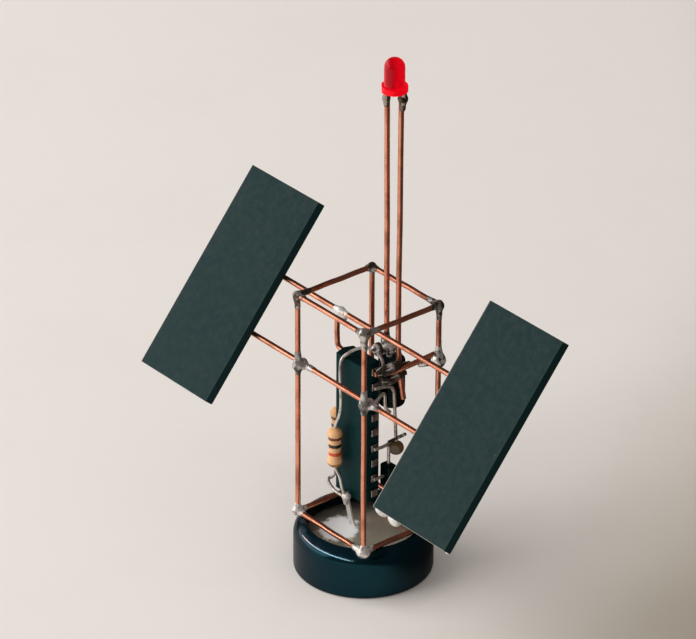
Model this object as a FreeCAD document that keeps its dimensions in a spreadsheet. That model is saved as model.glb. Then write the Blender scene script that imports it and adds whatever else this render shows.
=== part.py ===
"""Desk satellite: a free-form circuit sculpture soldered from bare copper wire.

A square cage of wire stands on a coin-shaped storage capacitor. Two solar plates hang on two
long wires that pass through the cage, a chip with its small parts stands inside it, and a
round-topped lamp stands above it on two stems. Everything is soldered, so nothing moves.

Frame: millimetres, Z up, the origin at the centre of the base's underside. X runs along the
two plate wires and Y from the front of the cage to its back.
"""
import FreeCAD
import Part
import math
import os
import re

import Sketcher

Vector = FreeCAD.Vector
X_AXIS = Vector(1, 0, 0)
Y_AXIS = Vector(0, 1, 0)
Z_AXIS = Vector(0, 0, 1)

doc = FreeCAD.newDocument("desk_satellite")

# ---------------------------------------------------------------- driving dimensions
# name, value in millimetres, degrees or pieces
SIZES = [
    ("wire_diameter", 0.8),
    ("lead_diameter", 0.5),
    ("fit_clearance", 0.05),
    ("base_diameter", 20.7),
    ("base_height", 7.5),
    ("sleeve_wall", 0.35),
    ("lip_width", 2.05),
    ("lip_drop", 1.2),
    ("rim_flat", 0.5),
    ("shoulder_break", 0.3),
    ("lid_recess", 1.7),
    ("can_groove", 0.4),
    ("tab_width", 1.3),
    ("tab_thickness", 0.3),
    ("tab_taper", 0.6),
    ("tab_rise", 6.4),
    ("tab_lean_x", 1.39),
    ("tab_lean_y", 2.3),
    ("tab_offset_x", -1.69),
    ("tab_offset_y", -0.75),
    ("cage_offset_x", 0.3),
    ("cage_offset_y", 0.4),
    ("cage_width", 15.05),
    ("cage_depth", 13.85),
    ("cage_height", 36.05),
    ("upper_wire_gap", 3.49),
    ("panel_tilt", 50.6),
    ("panel_wire_spacing", 9.4),
    ("panel_wire_margin", 3.0),
    ("panel_length", 33.5),
    ("panel_width", 15.6),
    ("panel_thickness", 1.6),
    ("panel_bevel", 0.15),
    ("panel_reach_left", 18.7),
    ("panel_reach_right", 19.5),
    ("pad_width", 1.7),
    ("pad_foot", 0.75),
    ("pad_height", 0.3),
    ("lump_width", 1.7),
    ("lump_width_small", 0.8),
    ("lump_taper", 0.6),
    ("lump_first", 0.5),
    ("lump_second", 2.3),
    ("lump_last", 14.9),
    ("chip_offset_x", -1.1),
    ("chip_offset_y", -1.0),
    ("chip_level", 11.75),
    ("chip_length", 23.1),
    ("chip_width", 6.4),
    ("chip_thickness", 3.3),
    ("chip_draft", 8.0),
    ("notch_radius", 0.8),
    ("notch_depth", 0.5),
    ("pin_pitch", 2.54),
    ("pin_count", 9),
    ("pin_width", 1.15),
    ("pin_thickness", 0.27),
    ("pin_shoulder", 0.35),
    ("pin_stub", 1.15),
    ("resistor_length", 6.6),
    ("resistor_diameter", 2.25),
    ("resistor_waist", 1.8),
    ("resistor_cap", 1.7),
    ("resistor_step", 0.5),
    ("resistor_edge", 0.4),
    ("resistor_level", 16.7),
    ("resistor_gap", 0.35),
    ("resistor_shift", -1.35),
    ("rear_resistor_level", 17.25),
    ("rear_resistor_shift", 0.4),
    ("bulk_diameter", 3.8),
    ("bulk_length", 7.6),
    ("bulk_top", 33.0),
    ("bulk_offset_x", 0.15),
    ("bulk_offset_y", 4.85),
    ("bulk_edge", 0.3),
    ("bulk_lead_pitch", 1.5),
    ("bulk_lead_rise", 2.6),
    ("disc_diameter", 2.3),
    ("disc_thickness", 1.3),
    ("disc_edge", 0.4),
    ("disc_turn", 45.0),
    ("disc_drop", 0.8),
    ("disc_offset_x", 0.7),
    ("disc_offset_y", 3.8),
    ("device_width", 2.2),
    ("device_depth", 1.6),
    ("device_height", 3.6),
    ("device_edge", 0.4),
    ("device_offset_x", 0.35),
    ("device_offset_y", 1.9),
    ("device_rise", 0.7),
    ("bus_overhang", 0.15),
    ("bus_drop", 0.1),
    ("bus_coat", 0.62),
    ("bus_coat_length", 3.9),
    ("bus_bare_end", 0.35),
    ("mass_radius", 0.85),
    ("mass_drop", 1.4),
    ("mass_length", 3.5),
    ("link_shift", 1.6),
    ("link_drop", 0.95),
    ("link_rise", 3.9),
    ("hook_out", 0.1),
    ("hook_reach", 1.9),
    ("hook_rise", 1.3),
    ("hook_drop", 2.2),
    ("stem_row_y", 3.35),
    ("stem_inset", 0.27),
    ("stem_bend", 1.2),
    ("stem_foot_shift", -1.25),
    ("stem_foot_level", 36.6),
    ("stem_knee_level", 34.4),
    ("stem_tip_level", 28.6),
    ("stem_tip_shift", 1.3),
    ("lamp_offset_x", 1.9),
    ("lamp_turn", 50.6),
    ("lamp_level", 77.15),
    ("lamp_diameter", 3.0),
    ("lamp_height", 5.2),
    ("flange_diameter", 3.9),
    ("flange_height", 1.0),
    ("flange_flat", 0.3),
    ("lamp_leg_pitch", 2.54),
    ("lamp_leg_length", 2.2),
    ("lamp_leg_size", 0.5),
    ("leg_overlap", 1.2),
    ("corner_blob", 0.85),
    ("corner_fillet", 1.9),
    ("joint_blob", 0.95),
    ("joint_fillet", 2.1),
    ("joint_heel", 0.2),
    ("chip_blob", 0.7),
    ("chip_fillet", 1.4),
    ("tab_blob", 0.6),
    ("stay_shift", -6.9),
    ("stay_bend", 0.8),
    ("stay_blob_shift", 0.85),
]

# ---------------------------------------------------------------- places that follow from them
# name, formula; each place is used by every piece that meets there
PLACES = [
    ("wire_radius", "wire_diameter / 2"),
    ("lead_radius", "lead_diameter / 2"),
    ("lower_level", "base_height + wire_radius + fit_clearance"),
    ("upper_level", "lower_level + cage_height"),
    ("cage_left", "cage_offset_x - cage_width / 2"),
    ("cage_right", "cage_offset_x + cage_width / 2"),
    ("cage_front", "cage_offset_y - cage_depth / 2"),
    ("cage_back", "cage_offset_y + cage_depth / 2"),
    ("rail_length_x", "cage_width - wire_diameter - 2 * fit_clearance"),
    ("rail_length_y", "cage_depth - wire_diameter - 2 * fit_clearance"),
    ("can_radius", "base_diameter / 2 - sleeve_wall"),
    ("lid_level", "base_height - lid_recess"),
    ("shoulder_level", "base_height - lip_drop"),
    ("lip_radius", "base_diameter / 2 - lip_width"),
    ("low_wire_y", "cage_front + wire_diameter + fit_clearance"),
    ("high_wire_y", "low_wire_y + panel_wire_spacing * cos(panel_tilt)"),
    ("high_wire_z", "upper_level - wire_diameter - upper_wire_gap"),
    ("low_wire_z", "high_wire_z - panel_wire_spacing * sin(panel_tilt)"),
    ("plate_standoff", "wire_radius + fit_clearance"),
    ("plate_y", "(low_wire_y + high_wire_y) / 2 - plate_standoff * sin(panel_tilt)"),
    ("plate_z", "(low_wire_z + high_wire_z) / 2 + plate_standoff * cos(panel_tilt)"),
    ("plate_left_x", "cage_offset_x - panel_reach_left - panel_width / 2"),
    ("plate_right_x", "cage_offset_x + panel_reach_right + panel_width / 2"),
    ("long_wire_start", "plate_left_x - panel_width / 2 + panel_wire_margin"),
    ("long_wire_end", "plate_right_x + panel_width / 2 - panel_wire_margin"),
    ("chip_x", "cage_offset_x + chip_offset_x"),
    ("chip_y", "cage_offset_y + chip_offset_y"),
    ("chip_z", "chip_level + chip_length / 2"),
    ("chip_face_y", "chip_y - chip_thickness / 2"),
    ("pin_reach", "chip_width / 2 + pin_shoulder"),
    ("first_pin_z", "chip_z - pin_pitch * (pin_count - 1) / 2"),
    ("last_pin_z", "chip_z + pin_pitch * (pin_count - 1) / 2"),
    ("pin_face_right", "chip_x + pin_reach"),
    ("pin_face_left", "chip_x - pin_reach"),
    ("bus_x", "pin_face_right + wire_radius"),
    ("bus_start_y", "chip_y - bus_overhang"),
    ("bus_end_y", "stem_row_y - wire_radius - fit_clearance"),
    ("bus_z", "last_pin_z - bus_drop"),
    ("resistor_x", "chip_x + resistor_shift"),
    ("resistor_y", "chip_face_y - resistor_diameter / 2 - resistor_gap"),
    ("rear_resistor_x", "pin_face_left - resistor_diameter / 2 - resistor_gap"),
    ("rear_resistor_y", "chip_y + rear_resistor_shift"),
    ("tab_top_x", "tab_offset_x + tab_lean_x"),
    ("tab_top_y", "tab_offset_y - tab_lean_y"),
    ("tab_top_z", "lid_level + tab_rise"),
    ("link_x", "bus_x"),
    ("link_y", "bus_start_y + link_shift"),
    ("link_z", "bus_z - link_drop"),
    ("link_end_z", "link_z + link_rise"),
    ("lamp_x", "cage_offset_x + lamp_offset_x"),
    ("leg_x", "lamp_leg_pitch / 2 * cos(lamp_turn)"),
    ("leg_y", "lamp_leg_pitch / 2 * sin(lamp_turn)"),
    ("stem_x", "(lamp_leg_pitch / 2 - stem_inset) * cos(lamp_turn)"),
    ("stem_y", "(lamp_leg_pitch / 2 - stem_inset) * sin(lamp_turn)"),
    ("stem_behind", "lamp_leg_size / 2 + wire_radius + fit_clearance"),
    ("stem_middle_x", "lamp_x - stem_behind * sin(lamp_turn)"),
    ("stem_middle_y", "stem_row_y + stem_behind * cos(lamp_turn)"),
    ("stem_top_z", "lamp_level - lamp_leg_length + leg_overlap"),
    ("stem_left_foot_x", "lamp_x + stem_foot_shift"),
    ("stem_right_knee_x", "bus_x + wire_radius"),
    ("bulk_x", "cage_offset_x + bulk_offset_x"),
    ("bulk_y", "cage_offset_y + bulk_offset_y"),
    ("bulk_low_z", "bulk_top - bulk_length"),
    ("stay_x", "cage_offset_x + stay_shift"),
    ("disc_x", "pin_face_right + disc_offset_x"),
    ("disc_y", "chip_y + disc_offset_y"),
    ("disc_z", "first_pin_z + 3 * pin_pitch - disc_drop"),
    ("device_x", "pin_face_right + device_offset_x"),
    ("device_y", "chip_y + device_offset_y"),
    ("device_z", "first_pin_z + device_rise"),
]

SIZE_NAMES = [name for name, _ in SIZES]
PLACE_NAMES = [name for name, _ in PLACES]


def formula(text):
    """Return text with each size and place named by the sheet that holds it."""
    def owner(match):
        word = match.group(0)
        if word in SIZE_NAMES:
            return "sizes." + word
        if word in PLACE_NAMES:
            return "places." + word
        return word
    return re.sub(r"[A-Za-z_][A-Za-z_0-9]*", owner, text)


def make_sheets():
    """Write the driving dimensions and the places into two sheets and return them."""
    sizes = doc.addObject("Spreadsheet::Sheet", "sizes")
    for row, (name, number) in enumerate(SIZES, start=1):
        sizes.set(f"A{row}", name)
        sizes.set(f"B{row}", str(number))
        sizes.setAlias(f"B{row}", name)
    doc.recompute()
    places = doc.addObject("Spreadsheet::Sheet", "places")
    for row, (name, _) in enumerate(PLACES, start=1):
        places.set(f"A{row}", name)
        places.setAlias(f"B{row}", name)
    for row, (_, text) in enumerate(PLACES, start=1):
        places.set(f"B{row}", "=" + formula(text).replace("places.", ""))
    doc.recompute()
    return sizes, places


SIZE_SHEET, PLACE_SHEET = make_sheets()


def value(name):
    """Return the number behind a size or a place."""
    sheet = SIZE_SHEET if name in SIZE_NAMES else PLACE_SHEET
    number = sheet.get(name)
    return float(getattr(number, "Value", number))


def bind(item, formulas):
    """Tie properties of an object to formulas of sizes and places."""
    for path, text in formulas.items():
        item.setExpression(path, formula(text))


def put(item, label, x="0", y="0", z="0"):
    """Label an object and tie its place to formulas."""
    item.Label = label
    bind(item, {".Placement.Base.x": x, ".Placement.Base.y": y, ".Placement.Base.z": z})


NODES = []


def node(item):
    """List an object as a piece of its own, under its Label."""
    NODES.append(item)
    return item


# ---------------------------------------------------------------- helpers for solids
TURN = {
    "x": FreeCAD.Rotation(Y_AXIS, 90),
    "y": FreeCAD.Rotation(X_AXIS, -90),
    "z": FreeCAD.Rotation(),
}


def rod(label, axis, length, x, y, z, diameter="wire_diameter"):
    """Make a straight wire that starts at x, y, z and runs along one axis."""
    item = doc.addObject("Part::Cylinder", label)
    item.Placement = FreeCAD.Placement(Vector(), TURN[axis])
    bind(item, {"Radius": f"{diameter} / 2", "Height": length})
    put(item, label, x, y, z)
    return node(item)


def new_body(label):
    """Make an empty body that may hold solids that don't touch."""
    body = doc.addObject("PartDesign::Body", label)
    body.AllowCompound = True
    return body


def origin_plane(body, role):
    """Return one of a body's own origin planes."""
    return next(p for p in body.Origin.OriginFeatures if p.Role == role)


def new_sketch(body, role, name):
    """Add a sketch on one of a body's origin planes."""
    sketch = body.newObject("Sketcher::SketchObject", name)
    sketch.AttachmentSupport = [(origin_plane(body, role), "")]
    sketch.MapMode = "FlatFace"
    return sketch


def draw_outline(sketch, corners):
    """Draw a closed outline whose corners are pairs of formulas, each tied to the origin."""
    count = len(corners)
    turn = 2 * math.pi / count
    rough = [Vector(math.cos(k * turn), math.sin(k * turn), 0) for k in range(count)]
    for k in range(count):
        sketch.addGeometry(Part.LineSegment(rough[k], rough[(k + 1) % count]), False)
    for k in range(count):
        sketch.addConstraint(Sketcher.Constraint("Coincident", k, 2, (k + 1) % count, 1))
    for k, corner in enumerate(corners):
        for kind, text in zip(("DistanceX", "DistanceY"), corner):
            index = sketch.addConstraint(Sketcher.Constraint(kind, -1, 1, k, 1, 1.0 + k))
            sketch.renameConstraint(index, f"{kind}{k}")
    for k, corner in enumerate(corners):
        for kind, text in zip(("DistanceX", "DistanceY"), corner):
            sketch.setExpression(f"Constraints.{kind}{k}", formula(text))


def revolved(label, corners, name="profile"):
    """Make a body by turning an outline of radius and height about the Z axis."""
    body = new_body(label)
    sketch = new_sketch(body, "XZ_Plane", f"{label}_{name}")
    draw_outline(sketch, corners)
    turn = body.newObject("PartDesign::Revolution", f"{label}_turn")
    turn.Profile = sketch
    turn.ReferenceAxis = (sketch, ["V_Axis"])
    turn.Angle = 360
    body.Tip = turn
    doc.recompute()
    return body


def round_edges(body, wanted, radius, name):
    """Round the edges of a body's tip that a test accepts."""
    tip = body.Tip
    names = [f"Edge{k}" for k, edge in enumerate(tip.Shape.Edges, start=1) if wanted(edge)]
    fillet = body.newObject("PartDesign::Fillet", name)
    fillet.Base = (tip, names)
    bind(fillet, {"Radius": radius})
    body.Tip = fillet
    doc.recompute()
    return fillet


def is_circle(edge, radius, level):
    """Say whether an edge is a full circle of one radius at one height."""
    if not edge.Curve.TypeId.endswith("Circle"):
        return False
    return abs(edge.Curve.Radius - radius) < 1e-4 and abs(edge.Curve.Center.z - level) < 1e-4


def feature(label, shape):
    """Hold a shape that was worked out directly, as a piece of its own."""
    item = doc.addObject("Part::Feature", label)
    item.Label = label
    item.Shape = shape
    item.Placement = FreeCAD.Placement()
    return node(item)


def join_solids(shapes):
    """Return one compound of every solid in a list of shapes."""
    return Part.makeCompound([solid for shape in shapes for solid in shape.Solids])


def route(start, end, bends):
    """Return the points of a lead: its ends and its bends.

    Each bend is share, dx, dy, dz: how far along from start to end, and how far off that line.
    """
    inner = [start + (end - start) * share + Vector(dx, dy, dz) for share, dx, dy, dz in bends]
    return [start] + inner + [end]


def bent_wire(points, diameter, bend=0.0):
    """Return a round wire of mitred runs through a list of points.

    With a bend, each corner is cut across at that distance on both sides.
    """
    path = [points[0]]
    for before, corner, after in zip(points, points[1:], points[2:]):
        if bend:
            path.append(corner + (before - corner).normalize() * bend)
            path.append(corner + (after - corner).normalize() * bend)
        else:
            path.append(corner)
    path.append(points[-1])
    ring = Part.Wire(Part.makeCircle(diameter / 2, path[0], path[1] - path[0]))
    return Part.makePolygon(path).makePipeShell([ring], True, False, 1)


def straight_wire(start, end, diameter):
    """Return a round wire between two points."""
    along = end - start
    return Part.makeCylinder(diameter / 2, along.Length, start, along)


def taper(start, direction, length, near, far, sides=8):
    """Return a solid with flat sides that narrows from one radius to another."""
    turn = FreeCAD.Rotation(Z_AXIS, direction)
    rings = []
    for level, radius in ((0, near), (length, far)):
        corner_radius = radius / math.cos(math.pi / sides)
        corners = [Vector(corner_radius * math.cos(2 * math.pi * k / sides),
                          corner_radius * math.sin(2 * math.pi * k / sides), level)
                   for k in range(sides)]
        rings.append([start + turn.multVec(corner) for corner in corners])
    low, high = rings
    outlines = [low + low[:1], high + high[:1]]
    for k in range(sides):
        after = (k + 1) % sides
        outlines.append([low[k], low[after], high[after], high[k], low[k]])
    faces = [Part.Face(Part.makePolygon(outline)) for outline in outlines]
    solid = Part.Solid(Part.Shell(faces))
    solid.fix(0, 0, 0)
    return solid


def place(x, y, z):
    """Return a point from three names or numbers."""
    return Vector(*[value(part) if isinstance(part, str) else part for part in (x, y, z)])


# ---------------------------------------------------------------- base
def make_base():
    """Make the coin-shaped capacitor: its can, the sleeve shrunk over it and its upper tab."""
    can = revolved("base_can", [
        ("0", "0"),
        ("can_radius - can_groove", "0"),
        ("can_radius", "can_groove"),
        ("can_radius", "lid_level - can_groove"),
        ("can_radius - can_groove", "lid_level"),
        ("0", "lid_level"),
    ])
    node(can)
    wall = "base_diameter / 2"
    sleeve = revolved("base_sleeve", [
        ("can_radius - can_groove + fit_clearance", "fit_clearance"),
        ("can_radius", "fit_clearance"),
        (wall, "fit_clearance + sleeve_wall"),
        (wall, "shoulder_level - shoulder_break"),
        (f"{wall} - shoulder_break", "shoulder_level"),
        ("lip_radius + rim_flat", "base_height"),
        ("lip_radius", "base_height"),
        ("lip_radius", "lid_level"),
        ("can_radius - can_groove", "lid_level"),
        ("can_radius", "lid_level - can_groove"),
        ("can_radius", "can_groove"),
    ])
    node(sleeve)

    low = place("tab_offset_x", "tab_offset_y", "lid_level")
    high = place("tab_top_x", "tab_top_y", "tab_top_z")
    half = X_AXIS * (value("tab_width") / 2)
    thick = Y_AXIS * value("tab_thickness")
    edges = []
    for middle, reach in ((low, half), (high, half * value("tab_taper"))):
        corners = [middle - reach, middle + reach, middle + reach + thick,
                   middle - reach + thick, middle - reach]
        edges.append(Part.makePolygon(corners))
    feature("base_tab", Part.makeLoft(edges, True, True))


# ---------------------------------------------------------------- cage
def make_cage():
    """Make the four posts and the two squares of rails, butted at each corner."""
    rail_x = "cage_left + wire_radius + fit_clearance"
    rail_y = "cage_front + wire_radius + fit_clearance"
    full = "cage_height + wire_diameter"
    # name, x, y
    for name, x, y in (("left", "cage_left", "cage_front"), ("front", "cage_right", "cage_front"),
                       ("right", "cage_right", "cage_back"), ("back", "cage_left", "cage_back")):
        rod(f"post_{name}", "z", full, x, y, "lower_level - wire_radius")
    for name, level in (("bottom", "lower_level"), ("top", "upper_level")):
        rod(f"{name}_rail_front", "x", "rail_length_x", rail_x, "cage_front", level)
        rod(f"{name}_rail_back", "x", "rail_length_x", rail_x, "cage_back", level)
        rod(f"{name}_rail_left", "y", "rail_length_y", "cage_left", rail_y, level)
        rod(f"{name}_rail_right", "y", "rail_length_y", "cage_right", rail_y, level)
    length = "long_wire_end - long_wire_start"
    rod("panel_wire_lower", "x", length, "long_wire_start", "low_wire_y", "low_wire_z")
    rod("panel_wire_upper", "x", length, "long_wire_start", "high_wire_y", "high_wire_z")


# ---------------------------------------------------------------- solar plates
def make_plate(side):
    """Make one solar plate and the pads on its back that its wires are soldered to."""
    body = new_body(f"panel_{side}")
    body.Placement = FreeCAD.Placement(Vector(), FreeCAD.Rotation(X_AXIS, 45))
    sketch = new_sketch(body, "XY_Plane", f"panel_{side}_outline")
    across = "panel_width / 2"
    along = "panel_length / 2"
    draw_outline(sketch, [(f"-{across}", f"-{along}"), (across, f"-{along}"),
                          (across, along), (f"-{across}", along)])
    pad = body.newObject("PartDesign::Pad", f"panel_{side}_plate")
    pad.Profile = sketch
    bind(pad, {"Length": "panel_thickness"})
    body.Tip = pad
    doc.recompute()
    top = value("panel_thickness")
    names = [f"Edge{k}" for k, e in enumerate(pad.Shape.Edges, start=1)
             if abs(e.CenterOfMass.z - top) < 1e-6]
    bevel = body.newObject("PartDesign::Chamfer", f"panel_{side}_bevel")
    bevel.Base = (pad, names)
    bind(bevel, {"Size": "panel_bevel"})
    body.Tip = bevel
    bind(body, {".Placement.Rotation.Angle": "panel_tilt"})
    put(body, f"panel_{side}", f"plate_{side}_x", "plate_y", "plate_z")
    node(body)
    doc.recompute()


def make_pads(side, wires):
    """Make the solder that holds one plate to its two wires, as a pair of low mounds."""
    centre = place(f"plate_{side}_x", "plate_y", "plate_z")
    turn = FreeCAD.Rotation(X_AXIS, value("panel_tilt"))
    down = turn.multVec(Vector(0, 0, -1))
    inward = 1.0 if side == "left" else -1.0
    mounds = []
    for sign in (-1, 1):
        spot = centre + turn.multVec(Vector(0, sign * value("panel_wire_spacing") / 2, 0))
        spot = spot + X_AXIS * (inward * value("panel_width") / 4)
        foot = taper(spot, down, value("plate_standoff") * 2 + value("pad_height"),
                     value("pad_width"), value("pad_foot"))
        mounds.append(foot.cut(wires))
    if side == "right":
        mounds.extend(edge_lumps(centre, turn))
    feature(f"panel_{side}_joints", join_solids(mounds))


def edge_lumps(centre, turn):
    """Return the lumps of solder under the lower edge of a plate: two wide ones and a small one."""
    along = turn.multVec(Vector(0, -1, 0))
    lumps = []
    # where along the edge, width
    for at, width in (("lump_first", "lump_width"), ("lump_second", "lump_width"),
                      ("lump_last", "lump_width_small")):
        radius = value(width) / 2
        spot = Vector(value(at) - value("panel_width") / 2, -value("panel_length") / 2, radius)
        lumps.append(taper(centre + turn.multVec(spot), along, radius,
                           radius, radius * value("lump_taper")))
    return lumps


# ---------------------------------------------------------------- chip
def make_chip():
    """Make the chip: a body with drafted sides and two rows of trimmed pins."""
    body = new_body("chip_body")
    sketch = new_sketch(body, "XZ_Plane", "chip_parting_outline")
    half = "chip_width / 2"
    tall = "chip_length / 2"
    draw_outline(sketch, [(f"-{half}", f"-{tall}"), (half, f"-{tall}"), (half, tall),
                          (f"-{half}", tall)])
    pad = body.newObject("PartDesign::Pad", "chip_block")
    pad.Profile = sketch
    pad.SideType = "Two sides"
    bind(pad, {"Length": "chip_thickness / 2", "Length2": "chip_thickness / 2",
               "TaperAngle": "-chip_draft", "TaperAngle2": "-chip_draft"})
    body.Tip = pad
    doc.recompute()
    mark = new_sketch(body, "XZ_Plane", "chip_notch_outline")
    mark.addGeometry(Part.Circle(Vector(0, -5, 0), Z_AXIS, 1.0), False)
    mark.addConstraint(Sketcher.Constraint("PointOnObject", 0, 3, -2))
    for kind, text, first in (("Radius", "notch_radius", (0,)),
                              ("DistanceY", "-chip_length / 2", (-1, 1, 0, 3))):
        index = mark.addConstraint(Sketcher.Constraint(kind, *first, 1.0))
        mark.renameConstraint(index, kind)
        mark.setExpression(f"Constraints.{kind}", formula(text))
    bind(mark, {"AttachmentOffset.Base.z": "chip_thickness / 2"})
    notch = body.newObject("PartDesign::Pocket", "chip_notch")
    notch.Profile = mark
    bind(notch, {"Length": "notch_depth"})
    body.Tip = notch
    doc.recompute()
    put(body, "chip_body", "chip_x", "chip_y", "chip_z")
    node(body)

    for side, sign in (("left", "-"), ("right", "")):
        make_pin_row(side, sign)


def make_pin_row(side, sign):
    """Make one row of pins: each leaves the chip's side and turns towards its back."""
    row = new_body(f"chip_pins_{side}")
    sketch = new_sketch(row, "XY_Plane", f"pin_{side}_profile")
    near = f"{sign}chip_width / 2"
    bend = f"{sign}(pin_reach - pin_thickness)"
    far = f"{sign}pin_reach"
    low = "-pin_thickness / 2"
    draw_outline(sketch, [
        (near, low),
        (far, low),
        (far, "pin_stub - pin_thickness / 2"),
        (bend, "pin_stub - pin_thickness / 2"),
        (bend, "pin_thickness / 2"),
        (near, "pin_thickness / 2"),
    ])
    pad = row.newObject("PartDesign::Pad", f"pin_{side}")
    pad.Profile = sketch
    pad.Midplane = True
    bind(pad, {"Length": "pin_width"})
    row.Tip = pad
    doc.recompute()
    pattern = row.newObject("PartDesign::LinearPattern", f"pin_row_{side}")
    pattern.Originals = [pad]
    pattern.Direction = (sketch, ["N_Axis"])
    bind(pattern, {"Length": "pin_pitch * (pin_count - 1)", "Occurrences": "pin_count"})
    row.Tip = pattern
    put(row, f"chip_pins_{side}", "chip_x", "chip_y", "first_pin_z")
    node(row)
    doc.recompute()


# ---------------------------------------------------------------- small parts on the chip
def make_resistor(name, x, y, level):
    """Make a resistor's body: a waist between two caps with broken edges."""
    label = f"resistor_{name}_body"
    cap = "resistor_diameter / 2"
    waist = "resistor_waist / 2"
    body = revolved(label, [
        ("0", "0"),
        (f"{cap} - resistor_edge", "0"),
        (cap, "resistor_edge"),
        (cap, "resistor_cap"),
        (waist, "resistor_cap + resistor_step"),
        (waist, "resistor_length - resistor_cap - resistor_step"),
        (cap, "resistor_length - resistor_cap"),
        (cap, "resistor_length - resistor_edge"),
        (f"{cap} - resistor_edge", "resistor_length"),
        ("0", "resistor_length"),
    ])
    put(body, label, x, y, level)
    node(body)


def make_bulk_capacitor():
    """Make the small round capacitor that stands head down behind the chip."""
    wall = "bulk_diameter / 2"
    body = revolved("bulk_capacitor", [
        ("0", "0"),
        (f"{wall} - bulk_edge", "0"),
        (wall, "bulk_edge"),
        (wall, "bulk_length - bulk_edge"),
        (f"{wall} - bulk_edge", "bulk_length"),
        ("0", "bulk_length"),
    ])
    put(body, "bulk_capacitor", "bulk_x", "bulk_y", "bulk_low_z")
    node(body)


def make_lamp():
    """Make the lamp: a domed lens on a flange with one flat, and its two legs."""
    lens = revolved("lamp_lens", [
        ("0", "0"),
        ("flange_diameter / 2", "0"),
        ("flange_diameter / 2", "flange_height"),
        ("lamp_diameter / 2", "flange_height"),
        ("lamp_diameter / 2", "lamp_height"),
        ("0", "lamp_height"),
    ])
    radius = value("lamp_diameter") / 2
    top = value("lamp_height")
    round_edges(lens, lambda e: is_circle(e, radius, top), "lamp_diameter * 0.495", "lamp_dome")
    sketch = new_sketch(lens, "XY_Plane", "flange_flat_outline")
    reach = "flange_diameter"
    edge = "flange_diameter / 2 - flange_flat"
    draw_outline(sketch, [(edge, f"-{reach}"), (reach, f"-{reach}"), (reach, reach),
                          (edge, reach)])
    flat = lens.newObject("PartDesign::Pocket", "flange_flat_cut")
    flat.Profile = sketch
    flat.Reversed = True
    bind(flat, {"Length": "flange_height"})
    lens.Tip = flat
    lens.Placement = FreeCAD.Placement(Vector(), FreeCAD.Rotation(Z_AXIS, 45))
    bind(lens, {".Placement.Rotation.Angle": "lamp_turn"})
    put(lens, "lamp_lens", "lamp_x", "stem_row_y", "lamp_level")
    node(lens)
    doc.recompute()
    for name, sign in (("left", "-"), ("right", "+")):
        leg = doc.addObject("Part::Prism", f"lamp_leg_{name}")
        leg.Polygon = 4
        leg.Placement = FreeCAD.Placement(Vector(), FreeCAD.Rotation(Z_AXIS, 90))
        bind(leg, {"Circumradius": "lamp_leg_size / sqrt(2)", "Height": "lamp_leg_length",
                   ".Placement.Rotation.Angle": "lamp_turn + 45"})
        put(leg, f"lamp_leg_{name}", f"lamp_x {sign} leg_x", f"stem_row_y {sign} leg_y",
            "lamp_level - lamp_leg_length")
        node(leg)
    doc.recompute()


def make_bead():
    """Make the dipped disc capacitor that hangs at the foot of the long lead."""
    label = "disc_capacitor"
    rim = "disc_diameter / 2"
    body = revolved(label, [
        ("0", "0"),
        (f"{rim} - disc_edge", "0"),
        (rim, "disc_edge"),
        (rim, "disc_thickness - disc_edge"),
        (f"{rim} - disc_edge", "disc_thickness"),
        ("0", "disc_thickness"),
    ])
    body.Placement = FreeCAD.Placement(Vector(), FreeCAD.Rotation(Vector(1, 1, 0), 90))
    put(body, label, "disc_x - disc_thickness / 2 * cos(disc_turn)",
        "disc_y + disc_thickness / 2 * sin(disc_turn)", "disc_z")
    node(body)


def make_device():
    """Make the small black device at the chip's lower pins."""
    item = doc.addObject("Part::Box", "device_block")
    bind(item, {"Length": "device_width", "Width": "device_depth", "Height": "device_height"})
    rounded = doc.addObject("Part::Fillet", "device_body")
    rounded.Base = item
    doc.recompute()
    radius = value("device_edge")
    edges = [(k, radius, radius) for k, e in enumerate(item.Shape.Edges, start=1)
             if abs(e.CenterOfMass.z - value("device_height") / 2) < 1e-6]
    rounded.Edges = edges
    put(item, "device_block", "device_x - device_width / 2", "device_y", "device_z")
    rounded.Label = "device_body"
    node(rounded)
    doc.recompute()


# ---------------------------------------------------------------- leads and loose wires
def pin_side(number):
    """Return where a lead lies against the outer face of a pin of the right-hand row."""
    level = value("first_pin_z") + value("pin_pitch") * number
    return place("pin_face_right", "chip_y", level) + X_AXIS * value("lead_radius")


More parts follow.
